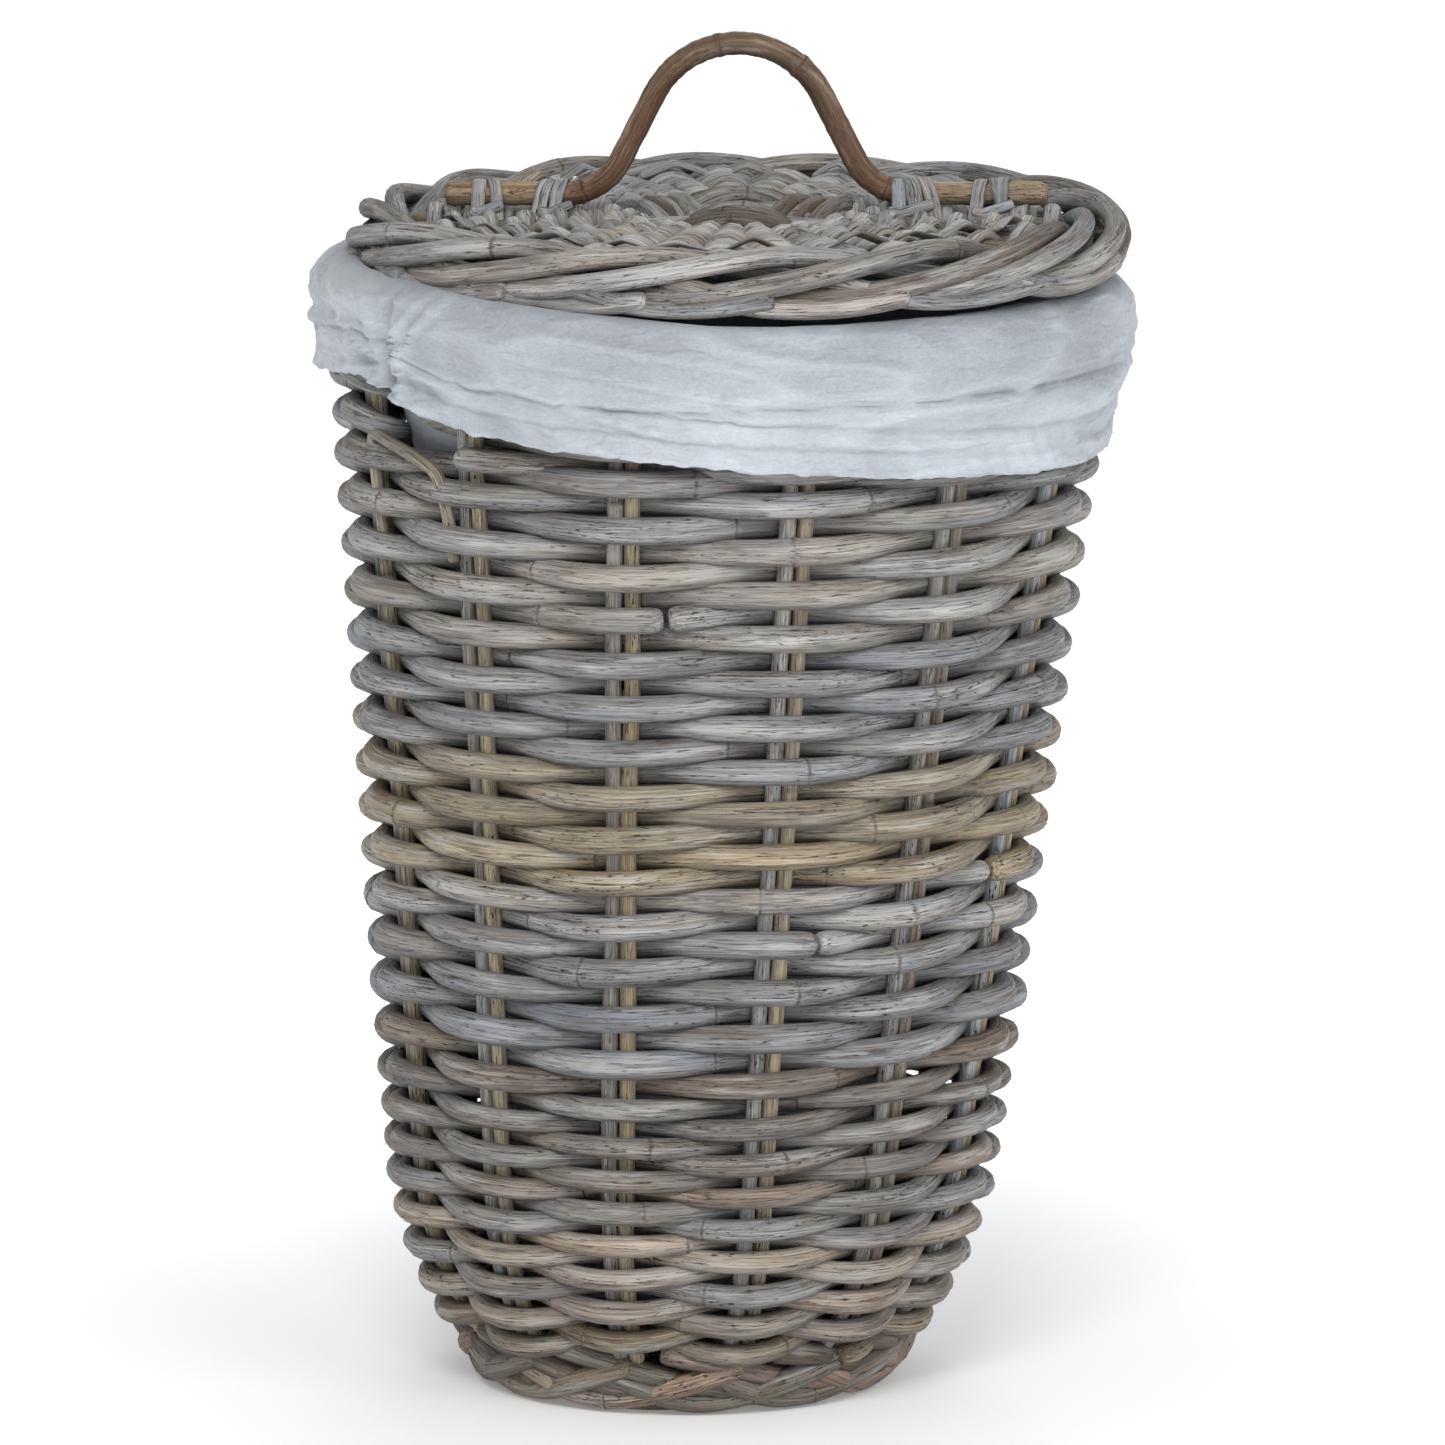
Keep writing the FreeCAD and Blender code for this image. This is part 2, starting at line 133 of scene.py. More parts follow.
# ---- materials ----
class Wire:
    def __init__(self, look, socket):
        self.look = look
        self.socket = socket

    def maths(self, operation, first, second):
        return self.look.node("ShaderNodeMath", {"operation": operation}, {0: first, 1: second})

    def __add__(self, other):
        return self.maths("ADD", self, other)

    def __radd__(self, other):
        return self.maths("ADD", other, self)

    def __sub__(self, other):
        return self.maths("SUBTRACT", self, other)

    def __rsub__(self, other):
        return self.maths("SUBTRACT", other, self)

    def __mul__(self, other):
        return self.maths("MULTIPLY", self, other)

    def __rmul__(self, other):
        return self.maths("MULTIPLY", other, self)

    def __abs__(self):
        return self.maths("ABSOLUTE", self, 0.0)


class Look:
    def __init__(self, name):
        self.material = bpy.data.materials.new(name)
        self.material.use_nodes = True
        self.tree = self.material.node_tree
        self.surface = self.tree.nodes["Principled BSDF"]

    def node(self, kind, settings, inputs, output=0):
        made = self.tree.nodes.new(kind)
        for name, value in settings.items():
            setattr(made, name, value)
        for key, value in inputs.items():
            self.join(made.inputs[key], value)
        return Wire(self, made.outputs[output])

    def join(self, socket, value):
        if isinstance(value, Wire):
            self.tree.links.new(value.socket, socket)
        else:
            socket.default_value = value

    def attribute(self, name, output):
        return self.node("ShaderNodeAttribute", {"attribute_name": name}, {}, output)

    def place(self):
        return self.node("ShaderNodeTexCoord", {}, {}, "Object")

    def cloud(self, vector, scale, detail=2.0, rough=0.5):
        stretched = self.node("ShaderNodeVectorMath", {"operation": "MULTIPLY"}, {0: vector, 1: scale})
        inputs = {"Vector": stretched, "Scale": 1.0, "Detail": detail, "Roughness": rough}
        return self.node("ShaderNodeTexNoise", {"noise_dimensions": "3D"}, inputs)

    def step(self, value, low, high, start=0.0, end=1.0):
        inputs = {"Value": value, "From Min": low, "From Max": high, "To Min": start, "To Max": end}
        return self.node("ShaderNodeMapRange", {"interpolation_type": "SMOOTHSTEP"}, inputs)

    def mix(self, amount, first, second, how="MIX"):
        settings = {"data_type": "RGBA", "blend_type": how}
        return self.node("ShaderNodeMix", settings, {0: amount, 6: first, 7: second}, 2)

    def paint(self, amount, under, colour):
        # a colour given in 0 to 255 laid over what is there
        return self.mix(amount, under, (*toLinear(colour), 1))

    def grey(self, value):
        return self.node("ShaderNodeCombineColor", {}, {0: value, 1: value, 2: value})

    def feed(self, name, value):
        self.join(self.surface.inputs[name], value)

    def bump(self, height, distance, strength):
        inputs = {"Height": height, "Distance": distance, "Strength": strength}
        self.feed("Normal", self.node("ShaderNodeBump", {}, inputs))


# noise in the cane: scale along and across its grain, detail, roughness
caneClouds = {
    "fibres": ((30, 1300, 1300), 3.0, 0.6), "streaks": ((11, 420, 420), 4.0, 0.62),
    "weather": ((19, 120, 120), 5.0, 0.62), "blotch": ((7, 45, 45), 3.0, 0.55),
    "cracks": ((20, 560, 560), 3.0, 0.55), "flecks": ((210, 900, 900), 2.0, 0.5),
    "drift": ((9, 75, 75), 3.0, 0.6),
}
# noise in the cloth: what it follows, scale, detail, roughness
clothClouds = {
    "across": ("threads", (260, 2600, 1), 2.0, 0.5), "along": ("threads", (2600, 260, 1), 2.0, 0.5),
    "slubs": ("threads", (60, 900, 1), 3.0, 0.5), "soft": ("place", (14, 14, 14), 3.0, 0.5),
    "folds": ("place", (22, 22, 62), 3.0, 0.55), "crumple": ("place", (60, 60, 110), 2.0, 0.5),
    "mottle": ("place", (420, 420, 700), 2.0, 0.6),
}


def caneMaterial(name, spec):
    look = Look(name)
    grain = look.attribute("grain", "Vector")
    tint = look.attribute("tint", "Color")
    scar = look.attribute("scar", "Fac")
    # painted shade: darker where the cane is underneath or hidden behind other canes
    paintedShade = look.attribute("paintedShade", "Fac")
    clouds = {part: look.cloud(grain, *values) for part, values in caneClouds.items()}
    fibres = clouds["fibres"]
    streaks = clouds["streaks"]
    weather = clouds["weather"]
    line = look.step(abs(clouds["cracks"] - 0.5), 0.0, spec["crackWidth"], 1.0, 0.0)
    worn = look.step(weather, 0.5, 0.66)
    rough = look.step(clouds["blotch"], 0.47, 0.62)
    fleck = look.step(clouds["flecks"], 0.6, 0.7) * (0.25 + rough * 0.75)
    dark = look.step(weather, 0.49, 0.3)
    shade = 1.0 + (streaks - 0.5) * spec["streak"] + (fibres - 0.5) * spec["fibre"]
    colour = look.mix(1.0, tint, look.grey(shade), "MULTIPLY")
    colour = look.mix(look.step(clouds["drift"], 0.46, 0.62) * 0.7, colour, (*spec["warm"], 1), "MULTIPLY")
    colour = look.mix(look.step(clouds["drift"], 0.5, 0.36) * 0.7, colour, (*spec["cool"], 1), "MULTIPLY")
    colour = look.paint(worn * spec["bleach"], colour, spec["pale"])
    bright = look.step(fibres * 0.5 + streaks * 0.5, 0.56, 0.68) * 0.35
    colour = look.paint(bright, colour, spec["pale"])
    colour = look.paint(dark * spec["stain"], colour, spec["dirt"])
    marks = line * look.step(streaks, 0.4, 0.6) * spec["crackDark"] + fleck * spec["fleckDark"]
    marks = look.step(marks + rough * look.step(fibres, 0.5, 0.35) * 0.5, 0, 1)
    colour = look.paint(marks, colour, spec["mark"])
    colour = look.paint(scar * look.step(weather, 0.38, 0.6, 0.04, 0.72), colour, spec["mark"])
    # painted shade laid into the colour on undersides and hidden passes
    colour = look.paint(paintedShade * 0.8, colour, spec["paintedShade"])
    look.feed("Base Color", colour)
    look.feed("Roughness", spec["rough"] + streaks * 0.3)
    look.feed("Specular IOR Level", 0.35)
    height = fibres * 0.5 + streaks * 0.8 - line * 0.7 - fleck * 0.25 - scar * 0.8
    look.bump(height, 0.0008, spec["bump"])
    return look.material


def clothMaterial(name, spec):
    look = Look(name)
    follow = {"place": look.place(), "threads": look.attribute("threads", "Vector")}
    clouds = {part: look.cloud(follow[values[0]], *values[1:]) for part, values in clothClouds.items()}
    stitch = look.attribute("stitch", "Fac")
    # a lighter band along the hem, plus painted fold shade: hollows darker, crests lighter
    hemAndFoldShade = look.attribute("hemAndFoldShade", "Fac")
    weave = clouds["across"] * 0.5 + clouds["along"] * 0.5
    crest = 1.0 - look.step(abs(clouds["folds"] - 0.5), 0.0, 0.09)
    tone = spec["tone"] + hemAndFoldShade * spec["hemAndFoldShade"] + (weave - 0.5) * spec["weave"]
    for part in ("slubs", "soft", "mottle"):
        tone = tone + (clouds[part] - 0.5) * spec[part]
    colour = look.mix(1.0, (*toLinear(spec["colour"]), 1), look.grey(tone), "MULTIPLY")
    colour = look.paint(stitch * 0.45, colour, spec["seam"])
    look.feed("Base Color", colour)
    look.feed("Roughness", 0.85)
    look.feed("Sheen Weight", 0.25)
    look.feed("Sheen Roughness", 0.5)
    fine = weave * 0.6 + clouds["slubs"] * 0.4 - stitch * 2.0
    look.bump(fine * 0.14 + crest * 0.4 + clouds["crumple"] * 0.16, 0.003, 0.5)
    return look.material


weatheredCane = {
    # the last colour here is painted shade for undersides and hidden passes
    "pale": (186, 186, 182), "dirt": (92, 82, 74), "mark": (46, 39, 35), "paintedShade": (38, 33, 30),
    "streak": 1.4, "fibre": 1.7, "warm": (1.05, 0.97, 0.87), "cool": (0.93, 0.97, 1.02),
    "bleach": 0.5, "stain": 0.6, "crackWidth": 0.02, "crackDark": 0.9, "fleckDark": 0.85,
    "rough": 0.46, "bump": 0.9,
}
stakeCane = {**weatheredCane, "pale": (180, 174, 160), "stain": 0.45, "crackDark": 1.0, "bleach": 0.4}
brownCane = {
    **weatheredCane, "pale": (178, 162, 142), "dirt": (84, 56, 38), "mark": (44, 28, 20),
    "bleach": 0.5, "stain": 0.75, "warm": (1.05, 0.85, 0.68), "cool": (0.8, 0.84, 0.84),
    "rough": 0.34, "bump": 0.45,
}
linerCotton = {
    # one weight here sets the painted fold shade and the lighter hem band
    "colour": (176, 182, 189), "seam": (120, 126, 134), "tone": 0.73, "hemAndFoldShade": 0.16, "weave": 0.24,
    "slubs": 0.16, "soft": 0.34, "mottle": 0.3,
}
peeledStrip = {**weatheredCane, "pale": (178, 182, 184), "bleach": 0.5, "stain": 0.35, "bump": 0.7}
looks = {
    "cane": caneMaterial("weathered_cane", weatheredCane),
    "stake": caneMaterial("stake_cane", stakeCane),
    "handle": caneMaterial("brown_cane", brownCane),
    "strip": caneMaterial("peeled_strip", peeledStrip),
    "cloth": clothMaterial("liner_cotton", linerCotton),
}

# cane colours, with the share of each
greyBlue = (155, 156, 158)
coolGrey = (160, 158, 156)
warmGrey = (159, 152, 143)
olive = (160, 150, 130)
tan = (168, 152, 127)
peach = (184, 158, 142)
brownGrey = (134, 125, 116)
lidGrey = (153, 152, 151)
lidWarm = (148, 141, 132)


def pickTint(rng, choices):
    total = sum(weight for _, weight in choices)
    point = rng.uniform(0, total)
    for colour, weight in choices:
        point -= weight
        if point <= 0:
            break
    light = rng.uniform(0.8, 1.03)
    warm = rng.uniform(-4, 4)
    shifted = (colour[0] * light + warm, colour[1] * light, colour[2] * light - warm)
    return toLinear([min(235, max(20, part)) for part in shifted])


# bands of differently coloured canes up the side
sideBands = (
    (0.12, ((warmGrey, 3), (coolGrey, 2), (peach, 1.2), (brownGrey, 2), (olive, 1))),
    (0.17, ((coolGrey, 3), (brownGrey, 3), (peach, 0.7), (greyBlue, 2))),
    (0.255, ((greyBlue, 5), (coolGrey, 3), (brownGrey, 2))),
    (0.345, ((olive, 4), (tan, 1.6), (warmGrey, 3), (brownGrey, 1))),
    (0.39, ((greyBlue, 4), (coolGrey, 3), (warmGrey, 1))),
    (1, ((coolGrey, 4), (warmGrey, 4), (olive, 1.2), (greyBlue, 1.5))),
)
lidMix = ((lidGrey, 5), (lidWarm, 2), ((166, 167, 168), 2), ((124, 115, 106), 1))
discMix = (((182, 182, 182), 4), ((172, 165, 156), 2), ((150, 142, 133), 1))
greyMix = ((coolGrey, 4), (greyBlue, 3), (warmGrey, 2), (brownGrey, 1.5), (peach, 0.15))


def shadesOf(choices):
    return lambda rng, param: pickTint(rng, choices)


def sideTint(rng, height):
    for top, choices in sideBands:
        if height < top:
            return pickTint(rng, choices)
    return pickTint(rng, sideBands[-1][1])


# ---- canes ----
growth = {
    "ringSteps": (-2, -1, -0.35, 0, 0.35, 1, 2), "tipSteps": (0.12, 0.4, 0.9), "tipWidth": 0.6,
    "leastGap": 0.00003, "shadeSpread": 0.22, "swell": 0.07, "groove": 0.05, "waver": 0.06,
}


def growCane(pathAt, start, stop, spec, rng, tintAt):
    # one length of cane along pathAt, with growth rings where its internodes meet
    count = max(3, int(abs(stop - start) * spec["rings"]))
    params = list(np.linspace(start, stop, count + 1))
    joints = []
    where = start + spec["internode"] * rng.uniform(0.2, 1)
    while where < stop - 0.1 * spec["internode"]:
        joints.append(where)
        where += spec["internode"] * rng.uniform(0.6, 1.5)
    for joint in joints:
        params += [joint + spec["fine"] * offset for offset in growth["ringSteps"]]
    speed = (pathAt(start + 0.01)[0] - pathAt(start)[0]).length / 0.01
    tips = [spec["radius"] / speed * share for share in growth["tipSteps"]]
    params += [start + tip for tip in tips] + [stop - tip for tip in tips]
    params = sorted(param for param in params if start <= param <= stop)
    gap = growth["leastGap"] / speed
    params = [param for param, after in zip(params, params[1:] + [stop + 1]) if after - param > gap]
    base = Vector(tintAt(rng, start))
    lengths = len(joints) + 1
    tints = [tuple(base.lerp(Vector(tintAt(rng, start)), growth["shadeSpread"])) for _ in range(lengths)]
    # how far each ring lies behind or under other canes, later painted in as shade
    hideAt = spec.get("hideAt", lambda param: 0.0)
    seed = rng.uniform(0, 90)
    thick = spec["radius"] * rng.uniform(1 - spec["uneven"], 1 + spec["uneven"])
    segment = [rng.uniform(0.97, 1.04) for _ in range(lengths)]
    strand = {part: [] for part in ("points", "radii", "squashes", "colours", "scars", "hides")}
    strand["seed"] = seed
    for param in params:
        point, squash = pathAt(param)
        index = bisect.bisect_right(joints, param)
        near = min((abs(param - joint) for joint in joints), default=9) / spec["fine"]
        swell = growth["swell"] * math.exp(-((near / 1.6) ** 2))
        swell -= growth["groove"] * math.exp(-((near / 0.4) ** 2))
        waver = softNoise(param * 1.7, seed, 0) * growth["waver"]
        ends = min(param - start, stop - param) / tips[2]
        blunt = 1
        if ends < 1:
            blunt = growth["tipWidth"] + (1 - growth["tipWidth"]) * math.sqrt(1 - (1 - ends) ** 2)
        strand["points"].append(point)
        strand["radii"].append(thick * segment[index] * (1 + swell + waver) * blunt)
        strand["squashes"].append(squash)
        strand["colours"].append(tints[index])
        strand["scars"].append(math.exp(-((near / 0.5) ** 2)))
        strand["hides"].append(hideAt(param))
    return strand


def caneObject(name, strands, material, sides=12, twist="Z_UP"):
    curve = bpy.data.curves.new(name, "CURVE")
    curve.dimensions = "3D"
    curve.twist_mode = twist
    curve.bevel_depth = 1
    curve.bevel_resolution = (sides - 4) // 2
    for strand in strands:
        spline = curve.splines.new("POLY")
        spline.points.add(len(strand["points"]) - 1)
        spline.points.foreach_set("co", [part for point in strand["points"] for part in (*point, 1)])
        spline.points.foreach_set("radius", strand["radii"])
    holder = bpy.data.objects.new(name, curve)
    mesh = bpy.data.meshes.new_from_object(holder)
    bpy.data.objects.remove(holder)
    bpy.data.curves.remove(curve)
    paintCane(mesh, strands, sides)
    closeEnds(mesh)
    mesh.materials.clear()
    mesh.materials.append(material)
    made = bpy.data.objects.new(name, mesh)
    bpy.context.scene.collection.objects.link(made)
    return made


def paintCane(mesh, strands, sides):
    total = len(mesh.vertices)
    coords = np.empty(total * 3)
    mesh.vertices.foreach_get("co", coords)
    coords = coords.reshape(total, 3)
    grain = np.zeros((total, 3))
    tint = np.ones((total, 4))
    scar = np.zeros(total)
    paintedShade = np.zeros(total)
    around = np.arange(sides) / sides * math.tau
    start = 0
    for strand in strands:
        centres = np.array([tuple(point) for point in strand["points"]])
        count = len(centres)
        radii = np.array(strand["radii"])
        stop = start + count * sides
        rings = coords[start:stop].reshape(count, sides, 3)
        offsets = rings - centres[:, None, :]
        normals = np.array([tuple(pair[0]) for pair in strand["squashes"]])
        amounts = np.array([pair[1] for pair in strand["squashes"]])
        depth = (offsets * normals[:, None, :]).sum(axis=2, keepdims=True)
        offsets = offsets - normals[:, None, :] * depth * (1 - amounts)[:, None, None]
        coords[start:stop] = (centres[:, None, :] + offsets).reshape(-1, 3)
        # painted shade: the underside of each cane and its hidden stretches are darkened
        under = np.clip(-offsets[:, :, 2] / radii[:, None] - 0.15, 0, 1)
        hidden = np.array(strand["hides"])[:, None]
        paintedShade[start:stop] = np.clip(under * 0.75 + hidden, 0, 1).reshape(-1)
        steps = np.linalg.norm(np.diff(centres, axis=0), axis=1)
        along = np.concatenate(([0], np.cumsum(steps))) + strand["seed"]
        grain[start:stop, 0] = np.repeat(along, sides)
        grain[start:stop, 1] = (np.cos(around)[None, :] * radii[:, None]).reshape(-1)
        grain[start:stop, 2] = (np.sin(around)[None, :] * radii[:, None]).reshape(-1)
        tint[start:stop, :3] = np.repeat(np.array(strand["colours"]), sides, axis=0)
        scar[start:stop] = np.repeat(np.array(strand["scars"]), sides)
        start = stop
    mesh.vertices.foreach_set("co", coords.reshape(-1))
    for name, kind, field, values in (
        ("grain", "FLOAT_VECTOR", "vector", grain),
        ("tint", "FLOAT_COLOR", "color", tint),
        ("scar", "FLOAT", "value", scar),
        ("paintedShade", "FLOAT", "value", paintedShade),
    ):
        mesh.attributes.new(name, kind, "POINT").data.foreach_set(field, values.reshape(-1))


def closeEnds(mesh):
    work = bmesh.new()
    work.from_mesh(mesh)
    openEdges = [edge for edge in work.edges if edge.is_boundary]
    if openEdges:
        caps = bmesh.ops.holes_fill(work, edges=openEdges, sides=0)["faces"]
        for cap in caps:
            cap.smooth = False
            for edge in cap.edges:
                edge.smooth = False
    bmesh.ops.recalc_face_normals(work, faces=work.faces[:])
    work.to_mesh(mesh)
    work.free()


def finishPiece(piece, body, nodes=()):
    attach(piece, body)
    if nodes:
        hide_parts(*nodes)


def makePiece(name, strands, look, sides, body, nodes=(), twist="Z_UP"):
    finishPiece(caneObject(name, strands, looks[look], sides, twist), body, nodes)


upward = Vector((0, 0, 1))
roundWay = (upward, 1.0)

# ---- side weave: one spiral in and out of thirteen stake pairs ----
sideSpec = {
    "radius": 0.0066, "uneven": 0.07, "rings": 9, "internode": 2.6, "fine": 0.017, "thick": 0.6,
    "pitch": 0.0112, "middle": 0.0165, "swing": 0.0092, "dip": -0.0009, "pinch": 0.06,
    "start": -0.0125, "drift": 0.0045, "wobble": 0.0009, "wander": 0.0014,
    "lengths": (17, 19, 21, 23, 25, 27, 31), "oddEnds": (-0.72, 0.7),
}


def spiralPath(startHeight, seed):
    spec = sideSpec

    def pathAt(turn):
        side = math.cos(math.pi * turn)
        angle = wall["firstPair"] + turn * bay
        wobble = softNoise(turn * 0.31, seed, 5.0)
        wander = softNoise(turn * 0.43, seed, 9.0)
        height = heightAfter(startHeight, turn / wall["pairs"])
        drift = roundNoise(angle, 1.7, height * 9)
        room = smooth(height, 0.05, 0.09) * (1 - smooth(height, 0.46, 0.49))
        height += spec["drift"] * drift * room - spec["dip"] * side + spec["wobble"] * wobble
        inward = spec["middle"] - (spec["swing"] + spec["wander"] * wander) * side
        return wallPoint(angle, height, inward), (upward, 1 - spec["pinch"] * (1 - side * side))
    return pathAt


# painted shade on the inner passes, where the cane runs behind the stakes
def hiddenInside(turn):
    return 0.3 * (1 - math.cos(math.pi * turn)) / 2


def weaveSide():
    rng = random.Random(41)
    start = sideLow.z + sideSpec["start"]
    rows = np.interp([start, sideHigh.z - 0.003], profileHeights, profileRows)
    turns = (rows[1] - rows[0]) * wall["pairs"] + 5
    pathAt = spiralPath(start, 3.0)
    turn = 0.0
    number = 0
    while turn < turns - 4:
        length = rng.choice(sideSpec["lengths"])
        stop = 2 * round((turn + length) / 2) + 1
        if rng.random() < 0.22:
            stop += rng.choice(sideSpec["oddEnds"])
        if stop > turns - 8:
            stop = turns
        number += 1
        height = heightAfter(start, turn / wall["pairs"])
        pitch = float(np.interp(height, pitchHeights, rowPitches))
        spec = {**sideSpec, "radius": pitch * sideSpec["thick"], "hideAt": hiddenInside}
        strand = growCane(pathAt, turn, stop - 0.03, spec, rng,
                          lambda chance, param: sideTint(chance, height + chance.uniform(-0.012, 0.02)))
        makePiece(f"side_cane_{number:02d}", [strand], "cane", 14, "basket", ("side_weave",))
        turn = stop
    print("side weave:", number, "canes")


weaveSide()


# ---- weave between the hand holes: canes turn back round the outer stakes ----
def bandPath(first, last, low, pitch):
    bays = last - first

    def pathAt(param):
        # one pass takes bays + 1: the last unit is the turn round the end pair
        lap = int(param // (bays + 1))
        rest = param - lap * (bays + 1)
        sign = 1 if lap % 2 == 0 else -1
        height = low + pitch * lap
        if rest <= bays:
            along = rest
            side = sign * math.cos(math.pi * (rest if sign == 1 else bays - rest))
        else:
            turned = rest - bays
            endSide = math.cos(math.pi * bays) if sign == 1 else -1
            along = bays + 0.24 * math.sin(math.pi * turned)
            side = endSide * math.cos(math.pi * turned)
            height += pitch * turned
        stake = first + along if sign == 1 else last - along
        angle = wall["firstPair"] + stake * bay
        inward = sideSpec["middle"] - sideSpec["swing"] * side
        point = wallPoint(angle, height - sideSpec["dip"] * side, inward)
        return point, (upward, 1 - 0.1 * (1 - side * side))
    return pathAt


def weaveBands():
    rng = random.Random(7)
    passes = 4
    pitch = sideSpec["pitch"]
    low = sideHigh.z + sideSpec["radius"] - 0.001
    for name, first, last in (("front", -3, 3), ("back", 4, 9)):
        bays = last - first
        spec = {**sideSpec, "uneven": 0.03}
        path = bandPath(first, last, low, pitch)
        strand = growCane(path, 0, passes * (bays + 1) - 1, spec, rng, shadesOf(greyMix))
        makePiece(f"hole_band_{name}", [strand], "cane", 14, "basket", (f"hole_panel_{name}",))
    strand = growCane(spiralPath(topLow.z, 6.0), 0, 13, sideSpec, rng, shadesOf(greyMix))
    makePiece("top_row", [strand], "cane", 14, "basket", ("top_weave",))
    print("hole bands and top row")


weaveBands()

# ---- stakes ----
stakeSpec = {
    "radius": 0.0043, "uneven": 0.05, "rings": 22, "internode": 3.2, "fine": 0.03, "apart": 0.0049,
    "inward": 0.0166, "foot": 0.02, "drift": 0.0012,
}
stakeGreys = (((176, 177, 177), 3), (coolGrey, 2))
stakeTans = (((182, 168, 140), 3), (olive, 2), (warmGrey, 1))


def setStakes():
    rng = random.Random(17)
    for number in range(wall["pairs"]):
        angle = wall["firstPair"] + number * bay
        strands = []
        for side, width, choices in ((-1, 1.0, stakeGreys), (1, 0.97, stakeTans)):
            seed = number * 3.1 + side

            def pathAt(param):
                height = stakeSpec["foot"] + param * 0.1
                drift = softNoise(param * 0.9, seed, 2) * stakeSpec["drift"]
                aside = (side * stakeSpec["apart"] + drift) / wallRadius(height)
                return wallPoint(angle + aside, height, stakeSpec["inward"] + drift), roundWay
            spec = {**stakeSpec, "radius": stakeSpec["radius"] * width}
            top = (rimLow.z + 0.004 - stakeSpec["foot"]) / 0.1
            strands.append(growCane(pathAt, 0, top, spec, rng, shadesOf(choices)))
        pair = f"{number + 1:02d}"
        makePiece(f"stakes_{pair}", strands, "stake", 10, "basket",
                  (f"stake_pair_{pair}",), "MINIMUM")
    print("stakes")


setStakes()

# ---- foot border: each strand dips under its neighbours and comes up again ----
footSpec = {"radius": 0.0065, "uneven": 0.06, "rings": 12, "internode": 1.9, "fine": 0.016}
footFamilies = (
    {
        "span": 2.4,  # in bays
        "offset": -0.35,
        "levels": (0.027, 0.016, 0.0076, 0.0072, 0.012, 0.02, 0.029),
        "depths": (0.022, 0.0145, 0.0135, 0.0135, 0.0135, 0.0135, 0.0195),
        # hidden: painted shade for the whole strand, stronger for the family lying deeper
        "hidden": 0.12,
    },
    {
        "span": 1.75,
        "offset": 0.27,
        "levels": (0.036, 0.031, 0.023, 0.016, 0.014),
        "depths": (0.0215, 0.0195, 0.0205, 0.0215, 0.0165),
        "hidden": 0.45,
    },
)
footRings = ((0.0075, 0.029), (0.02, 0.03))  # height and depth of the rings inside the plait


def plaitFoot():
    rng = random.Random(23)
    strands = []
    for family in footFamilies:
        span, levels, depths = (family[part] for part in ("span", "levels", "depths"))
        shares = np.linspace(0, 1, len(levels))
        for number in range(wall["pairs"]):
            start = wall["firstPair"] + (number + family["offset"] + rng.uniform(-0.06, 0.06)) * bay
            seed = rng.uniform(0, 50)

            def pathAt(param):
                share = param / span
                level = softRead(share, shares, levels) + 0.0009 * softNoise(param, seed, 1)
                point = wallPoint(start + param * bay, level, softRead(share, shares, depths))
                point.z = level
                return point, roundWay
            # painted shade set by how deep the strand's family lies in the plait
            spec = {**footSpec, "hideAt": lambda param: family["hidden"]}
            strands.append(growCane(pathAt, 0, span, spec, rng, shadesOf(sideBands[0][1])))
    for level, inward in footRings:
        def ringAt(param):
            point = wallPoint(wall["firstPair"] + param * bay, level, inward)
            point.z = level + 0.001 * math.cos(math.pi * param)
            return point, roundWay
        strands.append(growCane(ringAt, 0, 12.97, footSpec, rng, shadesOf(sideBands[0][1])))
    makePiece("foot_plait", strands, "cane", 12, "basket", ("foot_border",))
    print("foot border")


plaitFoot()


# ---- rim border, under the cloth ----
rimSpec = {**footSpec, "radius": 0.0052, "inset": 0.0235, "swing": 0.0072, "drop": 0.0018, "rise": 0.002}


def plaitRim():
    rng = random.Random(29)
    strands = []
    middleRadius = (rimHigh.x - rimLow.x) / 2 - rimSpec["inset"]
    level = (rimLow.z + rimHigh.z) / 2 - rimSpec["drop"]
    for number in range(3):
        def pathAt(param):
            turn = param * bay
            phase = param * 2 * math.pi / 2.6 + number * math.tau / 3
            radius = middleRadius + rimSpec["swing"] * math.cos(phase)
            height = level + rimSpec["rise"] * math.sin(2 * phase)
            return Vector((radius * math.cos(turn), radius * math.sin(turn), height)), roundWay
        strands.append(growCane(pathAt, 0, 12.98, rimSpec, rng, shadesOf(greyMix)))
    makePiece("rim_plait", strands, "cane", 10, "basket", ("rim_border",))
    print("rim border")


plaitRim()


# ---- thin cane along the bottom of each hand hole ----
def softPath(corners, steps):
    # a smooth line through given corners
    points = [corners[0]] + list(corners) + [corners[-1]]
    line = []
    for index in range(1, len(points) - 2):
        before, first, second, after = points[index - 1:index + 3]
        for step in range(steps):
            share = step / steps
            curve = (second - before) * share
            curve += (2 * before - 5 * first + 4 * second - after) * share ** 2
            curve += (3 * first - before - 3 * second + after) * share ** 3
            line.append(first + curve * 0.5)
    line.append(points[-2])
    return line


edgeSpec = {"radius": 0.0034, "uneven": 0.03, "rings": 1, "internode": 60, "fine": 0.3}
# bays from the first stake pair, height over the hole's bottom edge, depth
edgeCorners = (
    (0.15, -0.05, 0.012), (0.15, -0.02, 0.010), (0.15, 0.002, 0.009), (0.19, 0.0095, 0.0085),
    (0.35, 0.0085, 0.0075), (0.62, 0.004, 0.0065), (0.82, -0.002, 0.0055), (0.885, -0.012, 0.0055),
    (0.885, -0.028, 0.009), (0.885, -0.05, 0.012),
)


